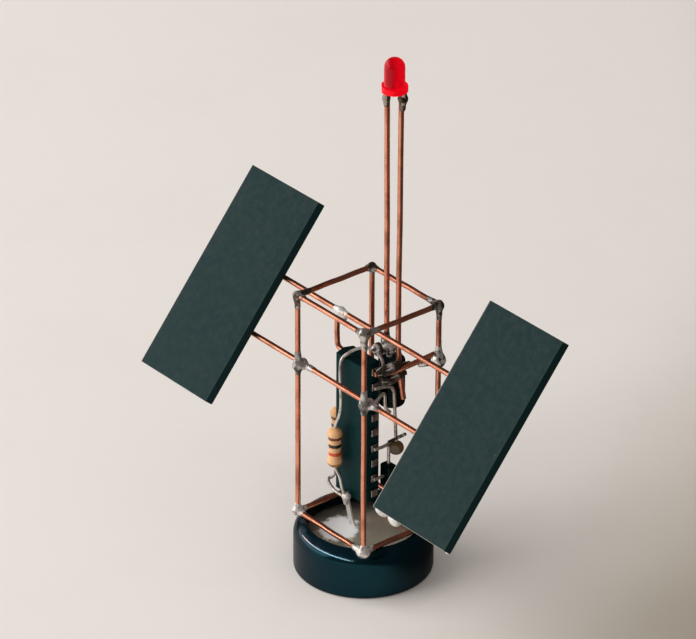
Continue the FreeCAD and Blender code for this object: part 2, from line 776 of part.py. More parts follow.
def make_wires():
    """Make the bent and sloping wires, from the points where they meet other pieces."""
    wire = value("wire_diameter")
    lead = value("lead_diameter")
    gap = value("fit_clearance")
    shapes = {}

    # bends: share of the way, then offsets x, y, z
    top = place("stay_x", "high_wire_y", value("high_wire_z") - wire - gap)
    pin = place("pin_face_left", "high_wire_y", "last_pin_z")
    corner = place("stay_x", "high_wire_y", "last_pin_z")
    shapes["stay_wire"] = bent_wire([top, corner, pin], wire, value("stay_bend"))

    start = place("bus_x", "bus_start_y", "bus_z")
    end = place("bus_x", "bus_end_y", "bus_z")
    shapes["bus_wire"] = straight_wire(start, end, wire)

    start = place("link_x", "link_y", "link_z")
    end = place("cage_right", "cage_back", "link_end_z")
    along = (end - start).normalize()
    flat = Vector(along.x, along.y, 0).Length
    end = end - along * ((wire / 2 + gap) / flat)
    post = Part.makeCylinder(wire / 2, value("cage_height"),
                             place("cage_right", "cage_back", "lower_level"))
    shapes["cross_link"] = straight_wire(start, end, wire).cut([post])

    middle = place("stem_middle_x", "stem_middle_y", "stem_top_z")
    beside = place("stem_x", "stem_y", 0)
    foot = place("stem_left_foot_x", "stem_row_y", "stem_foot_level")
    shapes["stem_left"] = straight_wire(foot, middle - beside, wire)
    knee = place("stem_right_knee_x", "stem_row_y", "stem_knee_level")
    tip = place("stem_right_knee_x", "stem_row_y", "stem_tip_level")
    tip = tip + X_AXIS * value("stem_tip_shift")
    shapes["stem_right"] = bent_wire([middle + beside, knee, tip], wire, value("stem_bend"))

    body_top = value("resistor_level") + value("resistor_length")
    bus_top = place("bus_x", value("chip_y") + 1.5, value("bus_z") + wire / 2 + gap)
    shapes["resistor_front_lead_upper"] = bent_wire(route(
        place("resistor_x", "resistor_y", body_top), bus_top, [
            (0.19, -0.05, -0.80, 0.31),
            (0.35, -0.55, -1.45, 0.79),
            (0.57, -2.27, -2.25, 1.91),
            (0.78, -3.93, -2.70, 2.88),
            (1.00, -3.70, -1.72, 2.40),
            (1.10, -2.66, -0.90, 1.62),
            (1.10, -0.60, -0.60, 0.75),
        ]), lead)
    tab_top = place("tab_top_x", "tab_top_y", "tab_top_z")
    tab_side = tab_top + Vector(0, -lead / 2 - gap, 0.5)
    shapes["resistor_front_lead_lower"] = bent_wire(route(
        place("resistor_x", "resistor_y", "resistor_level"), tab_side, [
            (0.10, 0.23, -0.04, 0.10),
            (0.35, 0.55, -0.10, 0.24),
            (0.73, 0.03, -0.06, -0.01),
        ]), lead)

    rear_top = value("rear_resistor_level") + value("resistor_length")
    pin = place("pin_face_left", "chip_y", value("last_pin_z") - 3 * value("pin_pitch"))
    shapes["resistor_rear_lead_upper"] = bent_wire([
        place("rear_resistor_x", "rear_resistor_y", rear_top),
        place("rear_resistor_x", "rear_resistor_y", pin.z),
        place(pin.x, "rear_resistor_y", pin.z),
    ], lead)
    shapes["resistor_rear_lead_lower"] = bent_wire(route(
        place("rear_resistor_x", "rear_resistor_y", "rear_resistor_level"),
        tab_top + Vector(-lead, -lead / 2 - gap, 0.1), [
            (0.28, -1.35, 0.57, -3.44),
            (0.26, -2.13, -0.21, -4.09),
            (0.47, -1.82, -0.34, -3.30),
            (0.71, -1.06, -0.45, -1.93),
        ]), lead)

    disc = place("disc_x", "disc_y", value("disc_z") + value("disc_diameter") / 2)
    shapes["lead_long"] = bent_wire([
        pin_side(7),
        Vector(disc.x - 0.1, disc.y - 0.35, pin_side(7).z - 0.4),
        disc,
    ], lead)
    hook = pin_side(6)
    out = value("hook_out")
    across = value("hook_reach")
    rise = value("hook_rise")
    shapes["lead_hook"] = bent_wire([
        hook,
        hook + Vector(out, across - lead, rise),
        hook + Vector(out, across, rise - lead / 2),
        hook + Vector(out, across, -rise),
        Vector(disc.x - out, disc.y - lead * 2 - gap, hook.z - value("hook_drop")),
    ], lead)
    row_lead = pin_side(3)
    shapes["lead_disc"] = straight_wire(
        row_lead, Vector(row_lead.x, disc.y - 0.9, row_lead.z), lead)
    device_top = place("device_x", value("device_y") + value("device_depth") / 2,
                       value("device_z") + value("device_height"))
    device_pin = pin_side(1)
    shapes["lead_device"] = straight_wire(
        device_pin, Vector(device_pin.x, value("device_y"), device_pin.z), lead)
    shapes["lead_device_upper"] = straight_wire(
        device_top, Vector(device_top.x, device_top.y, row_lead.z - lead / 2), lead)

    pitch = value("bulk_lead_pitch") / 2
    low = place("bulk_x", "bulk_y", "bulk_top")
    foot = place("stem_left_foot_x", "stem_row_y", value("stem_foot_level") - gap)
    shapes["bulk_lead_left"] = bent_wire([
        low - X_AXIS * pitch,
        low - X_AXIS * pitch + Z_AXIS * value("bulk_lead_rise"),
        foot - Z_AXIS * (lead / 2),
    ], lead)
    knee_side = place("stem_right_knee_x", "stem_row_y", value("stem_knee_level") + wire)
    shapes["bulk_lead_right"] = bent_wire([
        low + X_AXIS * pitch,
        Vector(low.x + pitch, low.y, knee_side.z),
        knee_side + Vector(0, wire / 2 + gap, 0),
    ], lead)
    for label, shape in shapes.items():
        feature(label, shape)


# ---------------------------------------------------------------- solder
def make_solder(label, blobs):
    """Make a group of solder joints that leave every other piece free."""
    others = [item.Shape for item in NODES]
    shapes = []
    for blob in blobs:
        near = [shape for shape in others if shape.BoundBox.intersect(blob.BoundBox)]
        shapes.append(blob.cut(near))
    feature(label, join_solids(shapes))


def corner_joints(level_name, up):
    """Return the four blobs at the corners of one square of rails."""
    blobs = []
    size = value("corner_blob")
    reach = value("corner_fillet")
    span = value("cage_width") * 2
    low = Vector(-span / 2, -span / 2, 0)
    below_lip = Part.makeBox(span, span, value("base_height"), low)
    for x_name, along_x in (("cage_left", 1), ("cage_right", -1)):
        for y_name, along_y in (("cage_front", 1), ("cage_back", -1)):
            arms = [(X_AXIS * along_x, reach), (Y_AXIS * along_y, reach), (Z_AXIS * up, reach)]
            blob = wire_joint(place(x_name, y_name, level_name), size, arms)
            blobs.append(blob.cut(below_lip))
    return blobs


def wire_joint(centre, size, arms):
    """Return solder that runs out thinner along its wires: arms are direction and length."""
    foot = value("wire_radius") + value("fit_clearance")
    behind = value("joint_heel")
    tapers = [taper(centre - direction * behind, direction, length + behind, size, foot)
              for direction, length in arms]
    return tapers[0].multiFuse(tapers[1:]) if len(tapers) > 1 else tapers[0]


def make_joints():
    """Make all the solder, group by group."""
    make_solder("solder_top_corners", corner_joints("upper_level", -1))
    make_solder("solder_bottom_corners", corner_joints("lower_level", 1))

    size = value("joint_blob")
    reach = value("joint_fillet")
    short = reach / 2
    crossings = []
    for x_name in ("cage_left", "cage_right"):
        on_wire = place(x_name, "low_wire_y", "low_wire_z")
        on_post = place(x_name, "cage_front", "low_wire_z")
        along = wire_joint(on_wire, size, [(X_AXIS, reach), (-X_AXIS, short)])
        crossings.append(along.fuse(wire_joint(on_post, size, [(Z_AXIS, reach)])))
    make_solder("solder_crossings", crossings)

    small = value("chip_blob")
    stay = place("stay_x", "high_wire_y", value("high_wire_z") - value("wire_radius"))
    stay = stay + X_AXIS * value("stay_blob_shift")
    make_solder("solder_stay", [wire_joint(stay, size, [(-X_AXIS, reach), (X_AXIS, short)])])

    post = place("cage_right", "cage_back", "link_end_z")
    make_solder("solder_link", [wire_joint(post, size, [(Z_AXIS, reach), (-Z_AXIS, short)])])

    coat = value("bus_coat")
    bare = place("bus_x", value("bus_start_y") + value("bus_bare_end"), "bus_z")
    sheath = taper(bare, Y_AXIS, value("bus_coat_length"), small, coat)
    mass = place("link_x", "link_y", value("bus_z") - value("mass_drop"))
    bridge = taper(mass, Y_AXIS, value("mass_length"), value("mass_radius"), coat)
    make_solder("solder_bus", [sheath.fuse(bridge)])

    foot = place("stem_left_foot_x", "stem_row_y", "stem_foot_level")
    fillet = value("chip_fillet")
    make_solder("solder_stem_foot", [wire_joint(foot, small, [(Z_AXIS, fillet),
                                                              (-Z_AXIS, small)])])

    lamp = []
    middle = place("lamp_x", "stem_row_y", value("stem_top_z") - value("leg_overlap") / 2)
    middle = middle + (place("stem_middle_x", "stem_middle_y", middle.z) - middle) / 2
    leg = place("leg_x", "leg_y", 0)
    for centre in (middle - leg, middle + leg):
        lamp.append(wire_joint(centre, small, [(Z_AXIS, value("leg_overlap")),
                                               (-Z_AXIS, fillet)]))
    make_solder("solder_lamp", lamp)

    tab_top = place("tab_top_x", "tab_top_y", "tab_top_z")
    bead = value("tab_blob")
    make_solder("solder_tab", [taper(tab_top - Z_AXIS * bead, Z_AXIS, bead * 2, bead, bead)])


# ---------------------------------------------------------------- the whole
def check_document():
    """Stop if any object failed or any piece isn't a sound solid."""
    for item in doc.Objects:
        if "Invalid" in item.State or "Error" in item.State:
            raise RuntimeError(f"{item.Label} failed: {item.State}")
    for item in NODES:
        shape = item.Shape
        if shape.isNull() or not shape.isValid() or not shape.Solids:
            raise RuntimeError(f"{item.Label} isn't a sound solid")


def write_pieces():
    """Write each piece to a file of its own."""
    os.makedirs("parts", exist_ok=True)
    for item in NODES:
        item.Shape.exportStep(f"parts/{item.Label}.step")


make_base()
make_cage()
for plate_side in ("left", "right"):
    make_plate(plate_side)
make_chip()
make_resistor("front", "resistor_x", "resistor_y", "resistor_level")
make_resistor("rear", "rear_resistor_x", "rear_resistor_y", "rear_resistor_level")
make_bulk_capacitor()
make_lamp()
make_bead()
make_device()
doc.recompute()
make_wires()
PLATE_WIRES = [item.Shape for item in NODES if item.Label.startswith("panel_wire")]
for plate_side in ("left", "right"):
    make_pads(plate_side, PLATE_WIRES)
make_joints()
doc.recompute()
check_document()
write_pieces()
for item in NODES:
    print(item.Label, len(item.Shape.Solids), round(item.Shape.Volume, 2))
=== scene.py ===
"""Finishes and fine forms of a desk model of a satellite, soldered from bare wire and electronic parts.

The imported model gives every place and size: a class per sub-assembly reads its nodes' boxes, in
millimetres, and works out the forms that stand for them. A form is a grid of points computed as whole
arrays; a finish is a small frozen class that makes its own material. The places in the tables of wires,
leads and solder are X, Y and Z in millimetres.
"""

import functools
import logging
import math
from dataclasses import dataclass, field, replace
from enum import Enum

import bmesh
import bpy
import numpy as np
from mathutils import Matrix, Vector


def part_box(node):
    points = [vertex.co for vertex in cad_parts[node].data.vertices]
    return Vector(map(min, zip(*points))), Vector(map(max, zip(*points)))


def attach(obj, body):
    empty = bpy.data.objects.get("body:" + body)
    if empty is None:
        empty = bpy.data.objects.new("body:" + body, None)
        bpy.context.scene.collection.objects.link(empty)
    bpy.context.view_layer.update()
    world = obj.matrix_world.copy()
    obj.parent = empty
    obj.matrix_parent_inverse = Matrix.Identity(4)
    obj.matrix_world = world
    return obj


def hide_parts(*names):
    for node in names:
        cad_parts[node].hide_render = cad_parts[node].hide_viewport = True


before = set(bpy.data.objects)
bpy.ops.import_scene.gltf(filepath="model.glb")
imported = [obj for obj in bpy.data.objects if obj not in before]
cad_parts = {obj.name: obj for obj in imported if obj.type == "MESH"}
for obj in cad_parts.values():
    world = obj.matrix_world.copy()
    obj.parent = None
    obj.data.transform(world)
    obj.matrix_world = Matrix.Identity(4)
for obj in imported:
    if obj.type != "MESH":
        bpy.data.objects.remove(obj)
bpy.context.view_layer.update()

MM = 0.001                # the forms are computed in millimetres and written in metres
ROOT = "root"             # the one body: the model is soldered together and nothing on it moves
WELD = 1e-6               # points closer than this, in metres, are one point
TINY = 1e-12              # no vector is taken to be shorter than this
NEVER = 180.0             # an edge is never as sharp as this angle, in degrees
PITCH = 2.54              # from one pin of the chip to the next
WIRE_SLANT = (0.36, 0.48, 0.80)     # the turn round a wire is counted from this direction
FORM_SLANT = (0.36, 0.80, 0.48)     # and the turn round a turned form from this one
LOG = logging.getLogger("satellite")

Colour = Place = tuple[float, float, float]
Span = tuple[float, float]
Array = np.ndarray
Socket = bpy.types.NodeSocket
Piece = bpy.types.Object

UP = np.array([0.0, 0.0, 1.0])
SIDES = ("left", "right")


class Slot(Enum):
    """The record's material slots."""

    COPPER = "copper"
    TINNED = "tinned_metal"
    LEAD = "lead_metal"
    PIN = "pin_metal"
    SOLDER = "solder"
    CAN = "can_metal"
    SLEEVE = "sleeve"
    CELL = "solar_plate"
    CHIP = "chip_black"
    RESISTOR = "resistor_tan"
    BLACK = "part_black"
    DIPPED = "dipped_brown"
    LENS = "lens_red"


class Axis(Enum):
    """The three directions that a block's faces look in."""

    X = 0
    Y = 1
    Z = 2


class Rise(Enum):
    """How a share rises between its two ends."""

    EVEN = "LINEAR"
    SMOOTH = "SMOOTHSTEP"
    SMOOTHER = "SMOOTHERSTEP"


# ---------------------------------------------------------------- node trees


class Tree:
    """A node tree with short ways to add a node, set its sockets and link them."""

    def __init__(self, tree: bpy.types.NodeTree) -> None:
        """Keeps a material's, a world's or a node group's tree."""
        self.tree = tree

    def set(self, socket: Socket, given: object) -> None:
        """Links an output socket to a socket, or gives the socket a value."""
        if isinstance(given, Socket):
            self.tree.links.new(given, socket)
        else:
            socket.default_value = given

    def add(self, kind: str, inputs: dict | None = None, **settings: object) -> bpy.types.Node:
        """Adds a node.

        Args:
            kind: the node's type name, after the words that all of them start with.
            inputs: what each named or numbered socket gets: a value, or an output socket to link.
            settings: the node's own settings.

        Returns:
            The node.
        """
        node = self.tree.nodes.new(f"ShaderNode{kind}")
        for name, setting in settings.items():
            setattr(node, name, setting)
        for name, given in (inputs or {}).items():
            self.set(node.inputs[name], given)
        return node

    def place(self) -> Socket:
        """Gives the object coordinates."""
        return self.add("TexCoord").outputs["Object"]

    def wrap(self) -> Socket:
        """Gives the piece's own map: round it and along it, in millimetres."""
        return self.add("UVMap", uv_map="wrap").outputs["UV"]

    def split(self, vector: Socket) -> bpy.types.NodeOutputs:
        """Gives a vector's X, Y and Z."""
        return self.add("SeparateXYZ", {0: vector}).outputs

    def math(self, operation: str, *values: object) -> Socket:
        """Gives what an operation makes of numbers or sockets."""
        return self.add("Math", dict(enumerate(values)), operation=operation).outputs[0]

    def dot(self, vector: Socket, toward: Place) -> Socket:
        """Gives how far a vector reaches in a direction."""
        return self.add("VectorMath", {0: vector, 1: toward}, operation="DOT_PRODUCT").outputs["Value"]

    def noise(self, vector: Socket, scale: object, detail: float = 2.0, rough: float = 0.5) -> Socket:
        """Gives a noise from 0 to 1 of a scale, a detail and a roughness."""
        inputs = {"Vector": vector, "Scale": scale, "Detail": detail, "Roughness": rough}
        return self.add("TexNoise", inputs).outputs[0]

    def ramp(self, value: Socket, start: object = 0.0, end: object = 1.0, low: float = 0.0, high: float = 1.0,
             rise: Rise = Rise.EVEN) -> Socket:
        """Maps a value between two numbers to a share between two others, and keeps it there.

        Args:
            value: the value.
            start: where the share is the low one.
            end: where it is the high one.
            low: the low share.
            high: the high share.
            rise: how it runs from one to the other.

        Returns:
            The share.
        """
        inputs = {"Value": value, "From Min": start, "From Max": end, "To Min": low, "To Max": high}
        return self.add("MapRange", inputs, interpolation_type=rise.value).outputs[0]

    def smooth(self, value: Socket, start: object, end: object) -> Socket:
        """Gives a share that rises smoothly from 0 at the start to 1 at the end."""
        return self.ramp(value, start, end, rise=Rise.SMOOTH)

    def across(self, toward: Place, start: float, end: float) -> Socket:
        """Gives a share that rises smoothly between two distances in a direction, in metres."""
        return self.smooth(self.dot(self.place(), toward), start, end)

    def facing(self, blend: float) -> Socket:
        """Gives how far a surface is seen along its skin: 0 from straight above, 1 along it."""
        return self.add("LayerWeight", {"Blend": blend}).outputs["Facing"]

    def group(self, group: bpy.types.NodeTree, **inputs: object) -> Socket:
        """Adds a node group, gives its sockets what is given, and gives its only output."""
        return self.add("Group", inputs, node_tree=group).outputs[0]

    def patches(self, scale: float, low: float, high: float) -> Socket:
        """Gives the mask of patches on the object coordinates."""
        return self.group(patches(), Vector=self.place(), Scale=scale, Low=low, High=high)

    def mix(self, mask: Socket, first: object, second: object) -> Socket:
        """Mixes two colours or colour sockets.

        Args:
            mask: 0 shows the first, 1 the second.
            first: a colour or its socket.
            second: a colour or its socket.

        Returns:
            The mixed colour.
        """
        node = self.add("Mix", {"Factor": mask}, data_type="RGBA")
        for name, given in ((6, first), (7, second)):          # the numbers of its colour sockets
            self.set(node.inputs[name], given if isinstance(given, Socket) else (*given, 1.0))
        return node.outputs[2]

    def bump(self, height: Socket, depth: float) -> Socket:
        """Turns a height from 0 to 1, so many millimetres deep, into a normal."""
        return self.add("Bump", {"Height": height, "Distance": depth * MM}).outputs["Normal"]


def new_group(name: str, inputs: dict[str, float], output: str) -> tuple[Tree, object, Socket]:
    """Makes an empty node group that takes a Vector and some numbers and gives one number.

    Args:
        name: the group's name.
        inputs: its number sockets with their defaults.
        output: the name of its output.

    Returns:
        The group's tree, what it is given and the socket that it gives.
    """
    group = bpy.data.node_groups.new(name, "ShaderNodeTree")
    group.interface.new_socket("Vector", in_out="INPUT", socket_type="NodeSocketVector")
    for label, default in inputs.items():
        socket = group.interface.new_socket(label, in_out="INPUT", socket_type="NodeSocketFloat")
        socket.default_value = default
    group.interface.new_socket(output, in_out="OUTPUT", socket_type="NodeSocketFloat")
    given, out = group.nodes.new("NodeGroupInput"), group.nodes.new("NodeGroupOutput")
    return Tree(group), given.outputs, out.inputs[output]


@functools.cache
def patches() -> bpy.types.NodeTree:
    """Makes the group for tarnish, flux and blotches: noise cut to a mask between two levels."""
    tree, given, out = new_group("patches", {"Scale": 400.0, "Low": 0.45, "High": 0.6}, "Mask")
    noise = tree.noise(given["Vector"], given["Scale"], detail=4.0, rough=0.6)
    tree.set(out, tree.smooth(noise, given["Low"], given["High"]))
    return tree.tree


@functools.cache
def streaks() -> bpy.types.NodeTree:
    """Makes the group for drawing marks: noise stretched along a wire's own map."""
    tree, given, out = new_group("streaks", {"Round": 9.0, "Along": 0.35}, "Height")
    scale = tree.add("CombineXYZ", {"X": given["Round"], "Y": given["Along"]}).outputs[0]
    drawn = tree.add("VectorMath", {0: given["Vector"], 1: scale}, operation="MULTIPLY").outputs[0]
    tree.set(out, tree.noise(drawn, 1.0, detail=3.0))
    return tree.tree


@functools.cache
def grain() -> bpy.types.NodeTree:
    """Makes the group for a moulded or cast surface's fine grain."""
    tree, given, out = new_group("grain", {"Scale": 6000.0}, "Height")
    tree.set(out, tree.noise(given["Vector"], given["Scale"]))
    return tree.tree


# ---------------------------------------------------------------- finishes


@dataclass(frozen=True)
class Finish:
    """A finish of two colours in patches, with a fine relief.

    The patches come from noise on the object coordinates, whose scale is in patches a metre. Where
    specular_along is given, the gloss goes to it from specular as the surface is seen along its skin.
    """

    name: str
    slot: Slot | None
    colour: Colour
    patch_colour: Colour
    patch_scale: float = 400.0
    patch_low: float = 0.45
    patch_high: float = 0.65
    rough_low: float = 0.3
    rough_high: float = 0.5
    metallic: float = 0.0
    relief_scale: float = 6000.0
    relief_depth: float = 0.004
    coat: float = 0.0
    specular: float = 0.5
    tint: Colour = (1.0, 1.0, 1.0)
    specular_along: float | None = None
    facing_blend: float = 0.75

    def material(self) -> bpy.types.Material:
        """Gives this finish's material, made once."""
        return made(self)

    def shade(self, tree: Tree, shader: bpy.types.Node) -> None:
        """Gives the shader what this finish is made of.

        Args:
            tree: the material's tree.
            shader: its Principled node.
        """
        mask = self.mask(tree)
        gloss = self.specular
        if self.specular_along is not None:
            gloss = tree.ramp(tree.facing(self.facing_blend), low=self.specular, high=self.specular_along)
        given = {"Base Color": self.colouring(tree, mask), "Normal": self.relief(tree),
                 "Roughness": tree.ramp(mask, low=self.rough_low, high=self.rough_high),
                 "Metallic": self.metallic, "Coat Weight": self.coat, "Specular IOR Level": gloss,
                 "Specular Tint": (*self.tint, 1.0)}
        for name, one in given.items():
            tree.set(shader.inputs[name], one)

    def mask(self, tree: Tree) -> Socket:
        """Gives the mask of the patches."""
        return tree.patches(self.patch_scale, self.patch_low, self.patch_high)

    def colouring(self, tree: Tree, mask: Socket) -> Socket:
        """Gives the colour, with the patches in it.

        Args:
            tree: the material's tree.
            mask: the mask of the patches.

        Returns:
            The colour.
        """
        return tree.mix(mask, self.colour, self.patch_colour)

    def relief(self, tree: Tree) -> Socket:
        """Gives the normal, with the fine grain in it."""
        return tree.bump(tree.group(grain(), Vector=tree.place(), Scale=self.relief_scale), self.relief_depth)


@functools.cache
def made(finish: Finish) -> bpy.types.Material:
    """Makes a finish's material, and gives the same one each time after.

    Args:
        finish: the finish.

    Returns:
        The material.
    """
    material = bpy.data.materials.new(finish.name)
    material.use_nodes = True
    finish.shade(Tree(material.node_tree), material.node_tree.nodes["Principled BSDF"])
    return material


@dataclass(frozen=True)
class DrawnWire(Finish):
    """Bare wire: bright metal with drawing marks and tarnish, darker where it was heated, and with painted
    shade along its edges as seen.

    The heat is the piece's own attribute, 1 at a soldered joint and fading along the wire to the wire's own
    darkening, which is partly tarnish and partly painted shade.
    """

    # the heated colour also serves as the painted shade along the wire's edges
    heated: Colour = (0.085, 0.045, 0.033)
    mark_depth: float = 0.012
    # painted shade: mixed towards the heated colour where the wire is seen edge-on, between two facings, up
    # to a share
    edge_shade_blend: float = 0.3
    skin: Span = (0.35, 0.9)
    edge_shade_share: float = 0.75

    def colouring(self, tree: Tree, mask: Socket) -> Socket:
        """Gives the colour, with the tarnish, the heated ends and the painted shade along the edges in it.

        Args:
            tree: the material's tree.
            mask: the mask of the patches.

        Returns:
            The colour.
        """
        heat = tree.add("Attribute", attribute_name="heat").outputs["Fac"]
        colour = tree.mix(heat, super().colouring(tree, mask), self.heated)
        # painted shade: darker where the wire is seen edge-on, standing in for its shading
        skin = tree.ramp(tree.facing(self.edge_shade_blend), *self.skin, high=self.edge_shade_share)
        return tree.mix(skin, colour, self.heated)

    def relief(self, tree: Tree) -> Socket:
        """Gives the normal, with the drawing marks in it."""
        return tree.bump(tree.group(streaks(), Vector=tree.wrap()), self.mark_depth)


@dataclass(frozen=True)
class Banded(Finish):
    """A resistor's lacquer, with colour bands at shares of its length.

    The bands are read along the piece's own map, which runs from its lower end to its upper end.
    """

    length: float = 6.6
    band: float = 0.075
    blur: float = 0.008
    unevenness: float = 0.03
    uneven_scale: float = 2.5
    bands: tuple[tuple[float, Colour], ...] = ()

    def colouring(self, tree: Tree, mask: Socket) -> Socket:
        """Gives the colour, with the bands over the lacquer.

        Args:
            tree: the material's tree.
            mask: the mask of the patches.

        Returns:
            The colour.
        """
        colour = super().colouring(tree, mask)
        share = tree.math("MULTIPLY", tree.split(tree.wrap())["Y"], 1 / self.length)
        edge = tree.noise(tree.wrap(), self.uneven_scale)
        ragged = tree.math("MULTIPLY_ADD", edge, self.unevenness, share)
        for middle, paint in self.bands:
            off = tree.math("SUBTRACT", ragged, middle + self.unevenness / 2)
            inside = tree.ramp(tree.math("ABSOLUTE", off), self.band / 2 + self.blur, self.band / 2)
            colour = tree.mix(inside, colour, paint)
        return colour


@dataclass(frozen=True)
class Laminate(Finish):
    """A plate's lacquered face: mottled, with a paler band by its right-hand edge, a dark cut side and a
    painted highlight along its left and lower edges.

    The piece's map gives the distances from its left and from its lower edge, in millimetres; along both
    lies a pale painted highlight, broken in patches. Specks and ragged are a scale and two levels of patches.
    """

    width: float = 15.6
    band: float = 0.1
    band_blur: float = 0.2
    band_share: float = 0.5
    band_colour: Colour = (0.06, 0.085, 0.08)
    side: Colour = (0.009, 0.034, 0.037)
    side_from: float = 0.08
    specks: Place = (2600.0, 0.66, 0.76)
    speck_share: float = 0.5
    speck_colour: Colour = (0.12, 0.15, 0.145)
    ragged: Place = (700.0, 0.28, 0.50)
    # the painted highlight along the left and lower edges: its colour, its reach, the lower edge's weight and
    # its share
    edge_highlight: Colour = (0.34, 0.32, 0.29)
    lower_share: float = 2.2
    edge_highlight_reach: float = 0.22
    edge_highlight_share: float = 1.0

    def colouring(self, tree: Tree, mask: Socket) -> Socket:
        """Gives the colour: the mottling, then the specks, the band, the painted edge highlight and the side.

        Args:
            tree: the material's tree.
            mask: the mask of the patches.

        Returns:
            The colour.
        """
        specks = tree.ramp(tree.patches(*self.specks), high=self.speck_share)
        colour = tree.mix(specks, super().colouring(tree, mask), self.speck_colour)
        wrap = tree.split(tree.wrap())
        start = self.width - self.band
        near = tree.ramp(wrap["X"], start - self.band_blur, start + self.band_blur, high=self.band_share)
        colour = tree.mix(near, colour, self.band_colour)
        # painted highlight: a pale line along the left and lower edges, where light catches them, broken in
        # patches
        edge = tree.math("MINIMUM", wrap["X"], tree.math("MULTIPLY", wrap["Y"], self.lower_share))
        by_edge = tree.ramp(edge, self.edge_highlight_reach, self.edge_highlight_reach / 2, high=self.edge_highlight_share)
        bare = tree.math("MULTIPLY", by_edge, tree.patches(*self.ragged))
        colour = tree.mix(bare, colour, self.edge_highlight)
        cut = tree.ramp(wrap["X"], self.width - self.side_from, self.width - self.side_from / 2)
        return tree.mix(cut, colour, self.side)


@dataclass(frozen=True)
class Moulded(Finish):
    """A moulded part whose upper face is painted darker than its sides: painted shade on the faces that look
    up.
    """

    painted_top_shade: Colour = (0.0008, 0.006, 0.007)
    top_shade_share: float = 0.75
    upright: Span = (0.3, 0.8)

    def colouring(self, tree: Tree, mask: Socket) -> Socket:
        """Gives the colour, with painted shade where the surface faces up.

        Args:
            tree: the material's tree.
            mask: the mask of the patches.

        Returns:
            The colour.
        """
        up = tree.split(tree.add("TexCoord").outputs["Normal"])["Z"]
        # painted shade: the upward faces are mixed towards a darker colour
        share = tree.ramp(up, *self.upright, high=self.top_shade_share)
        return tree.mix(share, super().colouring(tree, mask), self.painted_top_shade)


@dataclass(frozen=True)
class Streaked(Finish):
    """Solder that was drawn out as it set: its patches, painted glints, are stretched along the piece's own
    map.
    """

    streaks_round: float = 2.4
    streaks_along: float = 0.7

    def mask(self, tree: Tree) -> Socket:
        """Gives the mask of the stretched patches."""
        height = tree.group(streaks(), Vector=tree.wrap(), Round=self.streaks_round, Along=self.streaks_along)
        return tree.smooth(height, self.patch_low, self.patch_high)


@dataclass(frozen=True)
class PaleFloor(Finish):
    """The floor: pale near the window, with painted shade: a little darker and warmer away from it, and dim
    further off.

    Each change has a direction and two distances in metres; in what the model mirrors, the painted dim
    part starts nearer, by the spread, as a painted darker reflection.
    """

    falloff_shade_colour: Colour = (0.36, 0.30, 0.20)
    far_toward: Place = (0.9, 0.43, 0.0)
    far: Span = (0.0, 0.08)
    dim_shade_colour: Colour = (0.12, 0.10, 0.09)
    dim_toward: Place = (0.635, 0.772, 0.0)
    dim: Span = (0.052, 0.12)
    dim_spread: float = 7.0

    def colouring(self, tree: Tree, mask: Socket) -> Socket:
        """Gives the colour, with painted shade graded away from the window and dim further off on that side.

        Args:
            tree: the material's tree.
            mask: the mask of the patches.

        Returns:
            The colour.
        """
        away = tree.across(self.far_toward, *self.far)
        colour = tree.mix(away, super().colouring(tree, mask), self.falloff_shade_colour)
        # painted darker reflection: the dim part starts nearer in glossy rays
        mirrored = tree.add("LightPath").outputs["Is Glossy Ray"]
        stretch = tree.math("MULTIPLY_ADD", mirrored, self.dim_spread, 1.0)
        moved = tree.math("MULTIPLY", tree.dot(tree.place(), self.dim_toward), stretch)
        return tree.mix(tree.smooth(moved, *self.dim), colour, self.dim_shade_colour)


